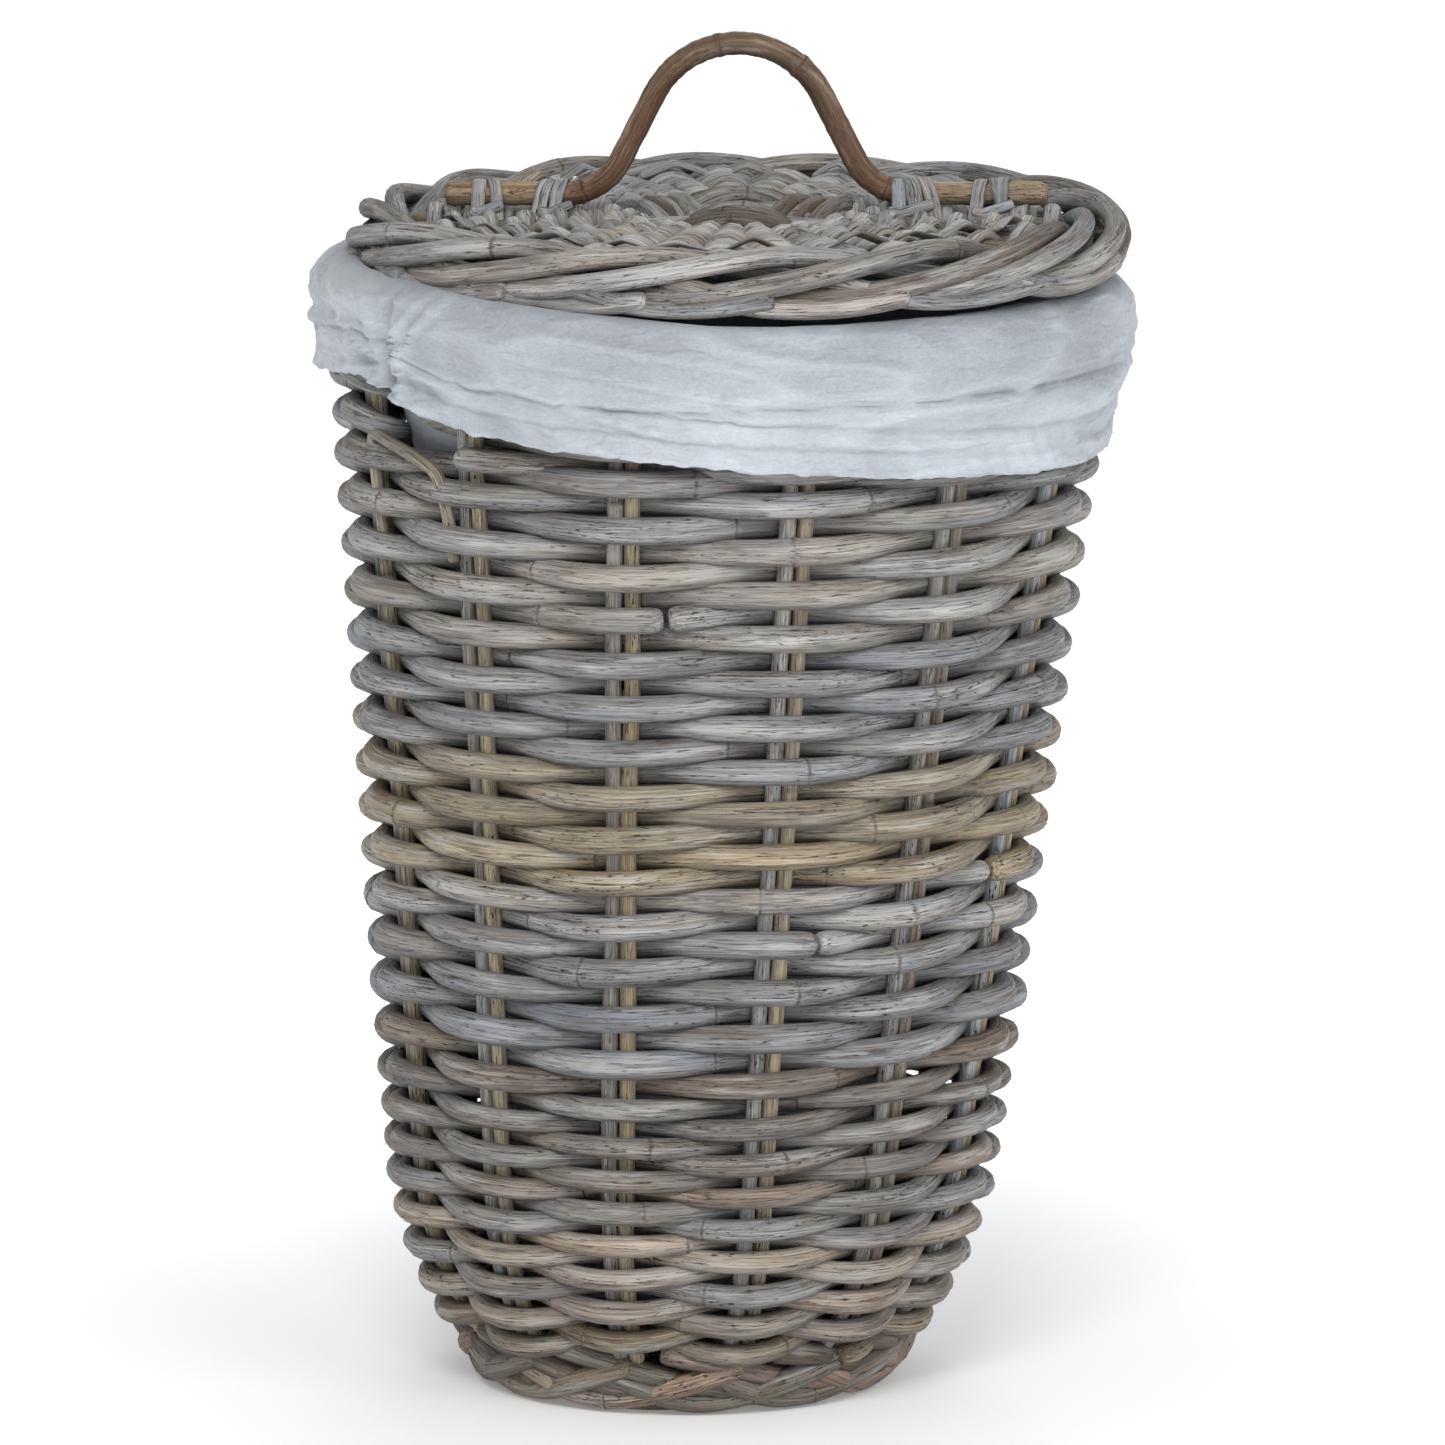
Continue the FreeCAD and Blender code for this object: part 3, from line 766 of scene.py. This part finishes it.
def edgeCanes():
    rng = random.Random(31)
    hole = sideHigh.z
    for name, first in (("left", -4), ("right", 3)):
        line = softPath([wallPoint(wall["firstPair"] + (first + along) * bay, hole + up, inward)
                         for along, up, inward in edgeCorners], 8)

        def pathAt(param):
            index = min(len(line) - 2, int(param))
            return line[index].lerp(line[index + 1], param - index), roundWay
        strand = growCane(pathAt, 0, len(line) - 1.001, edgeSpec, rng, shadesOf(((tan, 2), (olive, 2))))
        makePiece(f"edge_cane_{name}", [strand], "stake", 10, "basket",
                  (f"hole_edge_cane_{name}",), "MINIMUM")
    print("edge canes")


edgeCanes()

# ---- woven discs: cross sticks, spokes and a spiral weaver ----
discSpec = {
    "radius": 0.0047, "uneven": 0.12, "rings": 6, "internode": 9, "fine": 0.06, "rowPitch": 0.0092,
    "stick": 0.0039, "squash": 0.72,
    # painted shade on the weaver where it passes under the spokes
    "hideAt": lambda param: 0.62 * (1 - math.cos(math.pi * param)) / 2,
}
rodSpec = {
    "radius": discSpec["stick"], "uneven": 0.1, "rings": 60, "internode": 0.3, "fine": 0.002,
    # painted shade on the spokes, which lie under the weaver
    "hideAt": lambda param: 0.5,
}
crossSpec = {
    "radius": 0.0043, "uneven": 0.1, "rings": 160, "internode": 0.06, "fine": 0.0015, "sticks": 6,
    "apart": 0.0088, "lift": 0.0042, "reach": 0.026,
}
bindSpec = {
    "radius": 0.0056, "uneven": 0.08, "rings": 12, "internode": 1.3, "fine": 0.04, "turns": 3,
    "first": 0.029, "apart": 0.0105, "half": 0.03, "leans": (0.42, -0.2, -0.42, 0.2),
    "shades": (((112, 102, 92), 4), (lidGrey, 1)),
}


def weaveDisc(prefix, body, middle, radius, spokes, firstRow, seed, nodes):
    rng = random.Random(seed)
    level = middle.z
    spec = discSpec
    rise = spec["stick"] + 0.0024
    rods = []
    for number in range(spokes):
        angle = viewTurn + number * math.tau / spokes
        way = waysAt(angle)[0]
        begin = firstRow * rng.uniform(0.75, 0.95)

        def pathAt(param):
            lift = 0.0006 * softNoise(param * 40, number, 0)
            return Vector((middle.x, middle.y, level + lift)) + way * param, roundWay
        rods.append(growCane(pathAt, begin, radius - 0.001, rodSpec, rng, shadesOf(stakeGreys + stakeTans)))
    rows = (radius - 0.005 - firstRow) / spec["rowPitch"]

    def spiral(param):
        distance = firstRow + param / spokes * spec["rowPitch"]
        angle = viewTurn + param * math.tau / spokes
        wave = math.cos(math.pi * param)
        drift = softNoise(param * 0.37, seed, 4)
        jump = softNoise(param * 1.3, seed, 8)
        distance += 0.0012 * drift + 0.0014 * jump
        point = Vector((
            middle.x + distance * math.cos(angle),
            middle.y + distance * math.sin(angle),
            level + (rise + 0.0012 * drift + 0.0016 * jump) * wave,
        ))
        return point, (upward, spec["squash"])
    weavers = []
    at = 0.0
    end = rows * spokes
    while at < end - 6:
        stop = min(end, at + rng.uniform(38, 70))
        weavers.append(growCane(spiral, at, stop - 0.05, spec, rng, shadesOf(discMix)))
        at = stop
    # the two crossing bundles in the middle
    sticks = []
    for turn, height in ((viewTurn, crossSpec["lift"]), (viewTurn + math.pi / 2, -crossSpec["lift"])):
        way, aside = waysAt(turn)
        for number in range(crossSpec["sticks"]):
            offset = (number - (crossSpec["sticks"] - 1) / 2) * crossSpec["apart"]
            reach = firstRow + crossSpec["reach"] + rng.uniform(-0.004, 0.004)

            def pathAt(param):
                bend = 0.0012 * softNoise(param * 25, number, height * 900)
                drop = (abs(param) / reach) ** 3 * height * 0.8
                centre = Vector((middle.x, middle.y, level + height - drop + bend))
                spread = offset * (1 + 2 * (param / reach) ** 2) + bend
                return centre + way * param + aside * spread, roundWay
            sticks.append(growCane(pathAt, -reach, reach, crossSpec, rng, shadesOf(lidMix)))
    # bindings that hold the bundles at their four sides
    for quarter in range(4):
        way, aside = waysAt(viewTurn + quarter * math.pi / 2)
        for layer in range(bindSpec["turns"]):
            out = bindSpec["first"] + layer * bindSpec["apart"]
            lean = bindSpec["leans"][quarter] + rng.uniform(-0.08, 0.08)

            def pathAt(param):
                wide = bindSpec["half"] + layer * 0.003
                arch = math.cos(param * math.pi / 2)
                height = level - 0.006 + (0.0175 - 0.0015 * layer) * arch ** 0.6
                shift = out + lean * wide * param
                point = Vector((middle.x, middle.y, height)) + way * shift + aside * wide * param
                return point, (upward, 0.85)
            sticks.append(growCane(pathAt, -0.97, 0.97, bindSpec, rng, shadesOf(bindSpec["shades"])))
    makePiece(f"{prefix}_spokes", rods, "stake", 8, body, (f"{prefix}_sticks_lengthways",))
    makePiece(f"{prefix}_cross", sticks, "cane", 10, body, (f"{prefix}_sticks_crossways",))
    makePiece(f"{prefix}_spiral", weavers, "cane", 10, body, nodes)
    print(prefix, "disc")


weaveDisc("base", "basket", footMiddle, (baseHigh.x - baseLow.x) / 2, 25, 0.046, 61, ("base_weave",))
weaveDisc("lid", "lid", lidMiddle, (lidHigh.x - lidLow.x) / 2 + 0.0065, 31, 0.052, 67, ("lid_weave",))

# ---- lid border: long strands roll over the ring, short ones are tucked under with cut tails ----
lidBorderSpec = {
    "radius": 0.0056, "uneven": 0.1, "rings": 13, "internode": 5, "fine": 0.02, "wide": 0.0125,
    "tall": 0.0108, "drift": 0.0014,
}
lidFamilies = (
    # how many, where they start, bays each takes, turn round the section and reach along it
    (16, 0.0, 3.0, (-70, -44, -12, 16, 48, 84, 120, 162, 205),
     (0.72, 0.98, 1.1, 1.14, 1.22, 1.24, 1.12, 0.9, 0.7)),
    (16, 0.55, 1.42, (-2, -24, -46, -58, -60, -48, -30), (0.3, 0.95, 1.26, 1.36, 1.38, 1.38, 1.36)),
    (12, 0.2, 2.6, (-150, -120, -100, -95, -110, -140), (0.6, 0.65, 0.65, 0.65, 0.6, 0.55)),
)
laceSpec = {
    "radius": 0.0052, "uneven": 0.15, "rings": 9, "internode": 30, "fine": 0.1, "tents": 23,
    "level": 0.0065, "peak": (0.003, 0.0085), "inset": (0.012, 0.019), "half": (0.014, 0.02),
    "flat": 0.16,
}


def sunk(reach):
    # painted shade where a strand lies deep in the border
    return 1.3 * max(0, 1.06 - reach)


def plaitLid():
    rng = random.Random(73)
    half = (borderHigh.x - borderLow.x) / 2
    border = lidBorderSpec
    ring = half - border["wide"] * 1.25 - border["radius"] - 0.001
    middleHeight = (borderHigh.z + borderLow.z) / 2 + 0.001
    strands = []
    for count, offset, span, turns, reaches in lidFamilies:
        shares = np.linspace(0, 1, len(turns))
        for number in range(count):
            start = viewTurn + (number + offset + rng.uniform(-0.14, 0.14)) * math.tau / count
            seed = rng.uniform(0, 60)
            length = span * rng.uniform(0.93, 1.07)
            twist = rng.uniform(-7, 7)

            def pathAt(param):
                share = param / length
                around = math.radians(softRead(share, shares, turns) + twist)
                reach = softRead(share, shares, reaches)
                drift = softNoise(param * 0.8, seed, 0)
                radius = ring + (border["wide"] * reach + border["drift"] * drift) * math.cos(around)
                height = middleHeight + (border["tall"] * reach + 0.001 * drift) * math.sin(around)
                angle = start + param * bay
                x = lidMiddle.x + radius * math.cos(angle)
                y = lidMiddle.y + radius * math.sin(angle)
                return Vector((x, y, height)), roundWay
            spec = {**border, "hideAt": lambda param: sunk(softRead(param / length, shares, reaches))}
            strands.append(growCane(pathAt, 0, length, spec, rng, shadesOf(lidMix)))
    makePiece("lid_plait", strands, "cane", 12, "lid", ("lid_border",))
    # flat peeled strips bent into low peaks round the disc's outer row
    lacing = []
    rim = (lidHigh.x - lidLow.x) / 2
    for number in range(laceSpec["tents"]):
        outward, sideways = waysAt((number + rng.uniform(-0.25, 0.25)) * math.tau / laceSpec["tents"])
        peak = rng.uniform(*laceSpec["peak"])
        reach = rim - rng.uniform(*laceSpec["inset"])
        half = rng.uniform(*laceSpec["half"])

        def stripAt(param):
            rise = laceSpec["level"] + peak * (1 - math.sqrt(param * param + 0.01))
            point = lidMiddle + outward * reach + sideways * (half * param) + upward * rise
            slope = peak / half * math.copysign(min(1, abs(param) * 8), param)
            return point, ((upward + sideways * slope - outward * 0.35).normalized(), laceSpec["flat"])
        lacing.append(growCane(stripAt, -1, 1, laceSpec, rng, shadesOf(lidMix)))
    makePiece("lid_lacing", lacing, "strip", 8, "lid")
    print("lid border and lacing")


plaitLid()

# ---- handle ----
handle = {
    "radius": 0.0061, "axis": 0.626, "left": 0.152, "right": 0.161, "loopRadius": 0.0486,
    "loopMiddle": 0.03, "leg": math.radians(63), "bend": 0.032, "uneven": 0.0, "rings": 2,
    "internode": 17, "fine": 0.25, "brown": (112, 94, 76), "paleEnd": (146, 131, 106),
    "redLeg": (104, 74, 58),
}
handleWay, handleNormal = waysAt(viewTurn)
handleMiddle = Vector((lidMiddle.x, lidMiddle.y, handle["axis"]))


def handleLine():
    # half of the bent cane from its top outwards, then mirrored
    top = Vector((handle["loopRadius"] * math.sin(handle["leg"]), 0))
    top.y = handle["loopMiddle"] + handle["loopRadius"] * math.cos(handle["leg"])
    run = handle["bend"] * math.tan(handle["leg"] / 2)
    corner = top.x + top.y / math.tan(handle["leg"])
    half = []
    for step in range(15):
        angle = handle["leg"] * step / 14
        half.append(Vector((handle["loopRadius"] * math.sin(angle),
                            handle["loopMiddle"] + handle["loopRadius"] * math.cos(angle))))
    legLength = top.y / math.sin(handle["leg"]) - run
    down = Vector((math.cos(handle["leg"]), -math.sin(handle["leg"])))
    half += [top + down * legLength * step / 6 for step in range(1, 7)]
    for step in range(1, 9):
        angle = handle["leg"] * (1 - step / 8)
        half.append(Vector((corner + run - handle["bend"] * math.sin(angle),
                            handle["bend"] * (1 - math.cos(angle)))))
    foot = corner + run

    def withEnd(end):
        return half + [Vector((foot + (end - foot) * step / 8, 0)) for step in range(1, 9)]
    flat = [Vector((-point.x, point.y)) for point in reversed(withEnd(handle["left"]))]
    flat += withEnd(handle["right"])[1:]
    return [handleMiddle + handleWay * point.x + upward * point.y for point in flat]


def bendHandle():
    rng = random.Random(83)
    line = handleLine()

    def pathAt(param):
        index = min(len(line) - 2, int(param))
        point = line[index].lerp(line[index + 1], param - index)
        drift = softNoise(param * 0.12, 3, 0)
        return point + handleNormal * 0.0008 * drift, roundWay
    strand = growCane(pathAt, 0, len(line) - 1.001, handle, rng, shadesOf(((handle["brown"], 1),)))
    # the ends are paler, the lower legs redder
    for index, point in enumerate(strand["points"]):
        away = abs((point - handleMiddle).dot(handleWay))
        rise = point.z - handle["axis"]
        pale = smooth(away, 0.078, 0.1)
        red = smooth(rise, 0.004, 0.02) * (1 - smooth(rise, 0.03, 0.06))
        red = max(red, smooth(away, 0.055, 0.07) * (1 - pale))
        base = Vector(strand["colours"][index])
        base = base.lerp(Vector(toLinear(handle["paleEnd"])), pale * 0.85)
        base = base.lerp(Vector(toLinear(handle["redLeg"])), red * 0.75)
        strand["colours"][index] = tuple(base)
    makePiece("bent_handle", [strand], "handle", 16, "lid", ("lid_handle",), "MINIMUM")
    print("handle")


bendHandle()


# ---- lashings: flat strips over the handle and down into the lid ----
loopSpec = {"uneven": 0.04, "rings": 14, "internode": 40, "fine": 0.1,
            "drop": 0.014, "layer": 0.0006, "flat": 0.26}
turnSpec = {"radius": 0.0028, "uneven": 0.1, "rings": 10, "internode": 40, "fine": 0.1,
            "out": 0.0042, "flat": 0.3}
stripShades = ((greyBlue, 3), (coolGrey, 2))


def wrapLoop(along, lean, out, seed):
    # over the cane from one side to the other; lean shifts it along the handle
    def pathAt(param):
        reach = handle["radius"] + out
        if abs(param) <= 1:
            angle = param * math.pi / 2
            side = math.sin(angle) * reach
            height = math.cos(angle) * reach
            normal = handleNormal * math.sin(angle) + upward * math.cos(angle)
        else:
            sign = math.copysign(1, param)
            deep = abs(param) - 1
            side = sign * (reach + 0.004 * deep * deep)
            height = -deep * loopSpec["drop"]
            normal = (handleNormal * sign + upward * 0.25).normalized()
        shift = along + lean * param + 0.0006 * softNoise(param, seed, 0)
        point = handleMiddle + handleWay * shift + handleNormal * side + upward * height
        return point, (normal, loopSpec["flat"])
    return pathAt


lashingLoops = {
    # (place along the handle, lean, width of the strip)
    "lashing_left_outer": ((-0.134, 0.0006, 0.0036), (-0.127, -0.0012, 0.0034)),
    "lashing_left_inner": ((-0.0985, 0.0034, 0.0036), (-0.091, 0.0028, 0.0034)),
    "lashing_right_inner": ((0.083, -0.0008, 0.0042), (0.0895, -0.0022, 0.0042), (0.0965, -0.0035, 0.0036)),
    "lashing_right_outer": ((0.1265, 0.002, 0.0038), (0.1335, -0.0026, 0.0038), (0.138, 0.001, 0.003)),
}


def lashHandle():
    rng = random.Random(97)
    for name, loops in lashingLoops.items():
        strands = []
        for number, (along, lean, wide) in enumerate(loops):
            path = wrapLoop(along, lean, loopSpec["layer"] * (number + 1), along * 90)
            strands.append(growCane(path, -2, 2, {**loopSpec, "radius": wide}, rng, shadesOf(stripShades)))
        # two crossing turns low on each side
        first = loops[0][0]
        last = loops[-1][0]
        for sign in (-1, 1):
            for low, tilt in ((-0.0075, 0.0035), (-0.0105, -0.003)):
                def pathAt(param):
                    shift = first - 0.005 + (last - first + 0.01) * param
                    side = sign * (handle["radius"] + turnSpec["out"])
                    height = low + tilt * (param - 0.5) * 2
                    normal = (handleNormal * sign + upward * 0.4).normalized()
                    point = handleMiddle + handleWay * shift + handleNormal * side + upward * height
                    return point, (normal, turnSpec["flat"])
                strands.append(growCane(pathAt, 0, 1, turnSpec, rng, shadesOf(stripShades)))
        makePiece(f"{name}_strips", strands, "strip", 10, "lid", (name,), "MINIMUM")
    print("lashings")


lashHandle()

# ---- liner: bag, mouth and turned-over collar in one cloth ----
linerSpec = {
    "columns": 560, "collarRows": 62, "bagRows": 22, "thick": 0.0009, "bulge": 0.2118,
    "casing": (0.012, 0.024),
    "bagGaps": ((0.04, 0.05), (0.12, 0.066), (0.3, 0.068), (0.5, 0.056), (0.562, 0.046)),
    "bagFloor": 0.0392, "flat": (1.33, 0.68), "area": 0.66, "top": 0.5835, "leftPuff": 0.0135,
    "bagTop": 0.562, "sideShare": 0.86, "holeTurn": 173, "holePush": 0.03,
}
leftTurn = viewTurn + math.pi
# hem heights against the turn in degrees from the camera's line
hemAngles = (-180, -140, -100, -90, -74, -62, -55, -48, -40, -20, 0, 25, 50, 75, 95, 120, 137, 155, 180)
hemHeights = (0.512, 0.520, 0.534, 0.537, 0.541, 0.546, 0.5415, 0.532, 0.526, 0.520, 0.5135, 0.506,
              0.4995, 0.4975, 0.500, 0.520, 0.534, 0.520, 0.512)
viewWay = viewTurn - math.pi / 2


def turnFromFront(angle):
    return (math.degrees(angle - viewWay) + 180) % 360 - 180


def hemHeight(angle):
    waver = roundNoise(angle, 13, 1) * 0.0016 + roundNoise(angle, 34, 4) * 0.0009
    return float(np.interp(turnFromFront(angle), hemAngles, hemHeights)) + waver


def linerProfile(angle):
    # (radius, height) from the hem over the rim to the top of the bag
    low = hemHeight(angle)
    leftward = max(0, math.cos(angle - leftTurn))
    top = linerSpec["top"] + linerSpec["leftPuff"] * leftward
    step = max(low + 0.026, 0.537)
    rise = top - step
    bulge = linerSpec["bulge"]
    return [
        (wallRadius(low) + 0.0032, low),
        (wallRadius(low + 0.006) + 0.0022, low + 0.006),
        (wallRadius(low + 0.012) + 0.0013, low + 0.012),
        (wallRadius(low + 0.018) + 0.0024, low + 0.018),
        (wallRadius(low + 0.024) + 0.0014, low + 0.024),
        (wallRadius(step) + 0.0045, step),
        (bulge - 0.0015, step + 0.19 * rise),
        (bulge, step + 0.45 * rise),
        (bulge - 0.0012, step + 0.7 * rise),
        (bulge - 0.0075, step + 0.93 * rise),
        (bulge - 0.018, top + 0.0005),
        (0.187, top - 0.0045),
        (0.180, 0.5815),
        (0.172, 0.574),
        (0.1665, linerSpec["bagTop"]),
    ]


def sampleLine(points, count):
    line = softPath([Vector((*point, 0)) for point in points], 6)
    steps = [(second - first).length for first, second in zip(line, line[1:])]
    arcs = np.concatenate(([0], np.cumsum(steps)))
    wanted = np.linspace(0, arcs[-1], count)
    radii = np.interp(wanted, arcs, [point.x for point in line])
    heights = np.interp(wanted, arcs, [point.y for point in line])
    return list(zip(radii, heights))


def ridge(x, y, z):
    # sharp crests between soft hollows
    return max(0, 1 - 2.4 * abs(softNoise(x, y, z))) ** 2


creaseSpec = {
    "broad": 0.0046,
    "fold": 0.0052,
    "small": 0.0013,
    "grain": 0.0006,
    "gathers": 0.0013,
    "pinchTurn": 54,  # degrees left of the camera's line
    "pinchHeight": 0.552,
    "fan": 0.0044,
    "groove": 0.009,
    "lip": 0.004,
    "sagHeight": 0.5425,
    "sag": 0.0034,
    "calm": 0.72,  # how much flatter the folds lie at both sides
}


def creases(angle, height, low):
    # outward push of the cloth in metres
    spec = creaseSpec
    turn = turnFromFront(angle)
    east = math.cos(angle)
    north = math.sin(angle)
    beside = math.radians(turn + spec["pinchTurn"]) * 0.21
    slant = height + 0.17 * max(-0.1, min(0.25, beside))
    push = spec["broad"] * roundNoise(angle, 2.4, height * 17)
    calm = 1 - spec["calm"] * smooth(abs(turn), 66, 84)
    push += (spec["fold"] * ridge(east * 2.6, north * 2.6, slant * 52) - 0.0012) * calm
    push += spec["small"] * ridge(east * 5, north * 5, slant * 105 + 5)
    push += spec["grain"] * roundNoise(angle, 14, height * 70)
    # gathers along the hem
    nearHem = 1 - smooth(height - low, 0.008, 0.042)
    lean = angle + (height - low) * 3.2
    ripple = ridge(math.cos(lean) * 13, math.sin(lean) * 13, 2) - 0.4
    ripple += 0.35 * roundNoise(lean, 30, 6)
    push += spec["gathers"] * ripple * nearHem * calm
    # creases that fan out from the pinch beside the hand hole
    rise = height - spec["pinchHeight"]
    reach = math.hypot(beside, rise)
    fan = math.atan2(rise, beside)
    fanned = 2 * ridge(fan * 2.2 + 3, reach * 9, 1.5) - 0.6
    push += spec["fan"] * fanned * math.exp(-reach / 0.06) * smooth(reach, 0.002, 0.016) * calm
    column = smooth(height, 0.52, 0.535) * (1 - smooth(height, 0.58, 0.6))
    push -= spec["groove"] * math.exp(-((beside / 0.005) ** 2)) * column
    push += spec["lip"] * math.exp(-(((beside - 0.011) / 0.005) ** 2)) * column
    # a fold that sags below the bulge
    sag = spec["sagHeight"] + 0.0018 * math.sin(turn / 31)
    sharp = math.exp(-(((height - sag) / 0.0014) ** 2))
    push -= spec["sag"] * sharp * smooth(turn, -30, 0) * (1 - smooth(turn, 62, 90))
    return push


def bagPoint(angle, share):
    # share runs from the mouth down the side to the middle of the floor
    spec = linerSpec
    height = spec["bagTop"] + (spec["bagFloor"] - spec["bagTop"]) * min(1, share / spec["sideShare"])
    folded = roundNoise(angle, 3.5, height * 2.5) + 0.5 * roundNoise(angle, 9, height * 4)
    gap = float(np.interp(height, *zip(*spec["bagGaps"])))
    beside = (math.degrees(angle) - spec["holeTurn"]) / 24
    gap -= spec["holePush"] * math.exp(-beside ** 2) * smooth(height, 0.455, 0.495)
    radius = wallRadius(height) - gap + 0.0045 * (folded - 0.6) * smooth(share, 0, 0.2)
    if share > spec["sideShare"]:
        left = 1 - (share - spec["sideShare"]) / (1 - spec["sideShare"])
        radius *= max(0, left)
        height += 0.0012 * folded * left
    return radius, height


def sewLiner():
    spec = linerSpec
    rows = spec["collarRows"] + spec["bagRows"]
    work = bmesh.new()
    bmesh.ops.create_grid(work, x_segments=spec["columns"], y_segments=rows - 1, size=0.5)
    work.verts.ensure_lookup_table()
    threads = work.verts.layers.float_vector.new("threads")
    stitch = work.verts.layers.float.new("stitch")
    hemAndFoldShade = work.verts.layers.float.new("hemAndFoldShade")
    profiles = {}
    for vert in work.verts:
        column = round((vert.co.x + 0.5) * spec["columns"]) % spec["columns"]
        row = round((vert.co.y + 0.5) * (rows - 1))
        angle = column * math.tau / spec["columns"]
        if column not in profiles:
            profiles[column] = sampleLine(linerProfile(angle), spec["collarRows"])
        low = hemHeight(angle)
        if row < spec["collarRows"]:
            radius, height = profiles[column][row]
            outer = 1 - smooth(row / spec["collarRows"], 0.78, 1)
            hang = 1 - smooth(row / spec["collarRows"], 0.62, 0.74)
            push = creases(angle, height, low) * outer * (0.5 + 0.5 * hang)
            radius += push
            wave = roundNoise(angle, 5, 2)
            if hang < 1:
                height += 0.003 * wave * (1 - hang) * outer
            near = min(abs(height - low - offset) for offset in spec["casing"])
            vert[stitch] = math.exp(-((near / 0.0011) ** 2)) * (row < spec["collarRows"] * 0.5)
            # lighter along the hem; painted fold shade from the push: hollows darker, crests lighter
            vert[hemAndFoldShade] = 0.8 * (1 - smooth(height - low, 0.03, 0.05)) + max(-1.2, min(0.8, 170 * push))
        else:
            radius, height = bagPoint(angle, (row - spec["collarRows"] + 1) / spec["bagRows"])
        lean = 1 - height / rimHigh.z
        vert.co = Vector((
            footMiddle.x * lean + radius * math.cos(angle),
            footMiddle.y * lean + radius * math.sin(angle),
            height,
        ))
        vert[threads] = Vector((angle * 0.2, row * 0.0028, 0))
    bmesh.ops.remove_doubles(work, verts=work.verts[:], dist=0.00005)
    bmesh.ops.recalc_face_normals(work, faces=work.faces[:])
    for face in work.faces:
        face.smooth = True
    mesh = bpy.data.meshes.new("liner")
    work.to_mesh(mesh)
    work.free()
    mesh.materials.append(looks["cloth"])
    piece = bpy.data.objects.new("liner", mesh)
    bpy.context.scene.collection.objects.link(piece)
    thick = piece.modifiers.new("thick", "SOLIDIFY")
    thick.thickness = spec["thick"]
    thick.offset = 0
    finishPiece(piece, "basket", ("liner_side", "liner_base", "liner_elastic"))
    print("liner")


sewLiner()

# ---- floor, light and camera ----
studio = {
    "distance": 7, "height": 1.57, "target": Vector((0, 0, 0.347)), "lens": 338.5,
    "sky": (0.95, 0.97, 1, 1), "skyStrength": 0.46, "glow": 0.62,
    "lamps": (
        # name, place, size, power, colour
        ("key", Vector((-2.0, -1.8, 2.2)), 1.2, 52, (1, 0.985, 0.965)),
        ("fill", Vector((0.0, -3.2, 1.4)), 1.8, 30, (0.97, 0.985, 1)),
        ("back", Vector((1.6, 1.5, 2.2)), 1.6, 14, (1, 1, 1)),
    ),
}


def floorMaterial():
    look = Look("studio_floor")
    place = look.place()
    mottled = look.cloud(place, (2, 2, 2), 2.0)
    colour = look.mix(mottled, (0.93, 0.93, 0.935, 1), (0.96, 0.96, 0.965, 1))
    distance = look.node("ShaderNodeVectorMath", {"operation": "LENGTH"}, {0: place}, "Value")
    glow = look.step(distance, 0.15, 0.9, 0.3, 1.0)
    look.feed("Base Color", colour)
    look.feed("Roughness", 0.9)
    look.feed("Emission Color", look.grey(glow))
    look.feed("Emission Strength", studio["glow"])
    return look.material


def setStudio():
    scene = bpy.context.scene
    work = bmesh.new()
    bmesh.ops.create_grid(work, x_segments=4, y_segments=4, size=40)
    mesh = bpy.data.meshes.new("floor")
    work.to_mesh(mesh)
    work.free()
    mesh.materials.append(floorMaterial())
    floor = bpy.data.objects.new("floor", mesh)
    scene.collection.objects.link(floor)

    world = bpy.data.worlds.new("studio")
    scene.world = world
    world.use_nodes = True
    sky = world.node_tree.nodes["Background"]
    sky.inputs["Color"].default_value = studio["sky"]
    sky.inputs["Strength"].default_value = studio["skyStrength"]

    for name, where, size, power, colour in studio["lamps"]:
        lamp = bpy.data.lights.new(name, "AREA")
        lamp.shape = "SQUARE"
        lamp.size = size
        lamp.energy = power
        lamp.color = colour
        holder = bpy.data.objects.new(name, lamp)
        scene.collection.objects.link(holder)
        holder.location = where
        holder.rotation_euler = (studio["target"] - where).to_track_quat("-Z", "Y").to_euler()

    lens = bpy.data.cameras.new("camera")
    lens.lens = studio["lens"]
    lens.sensor_width = 36
    lens.clip_end = 200
    camera = bpy.data.objects.new("camera", lens)
    scene.collection.objects.link(camera)
    camera.location = Vector((
        math.sin(viewTurn) * studio["distance"],
        -math.cos(viewTurn) * studio["distance"],
        studio["height"],
    ))
    camera.rotation_euler = (studio["target"] - camera.location).to_track_quat("-Z", "Y").to_euler()
    scene.camera = camera
    scene.view_settings.view_transform = "Standard"
    print("studio")


setStudio()
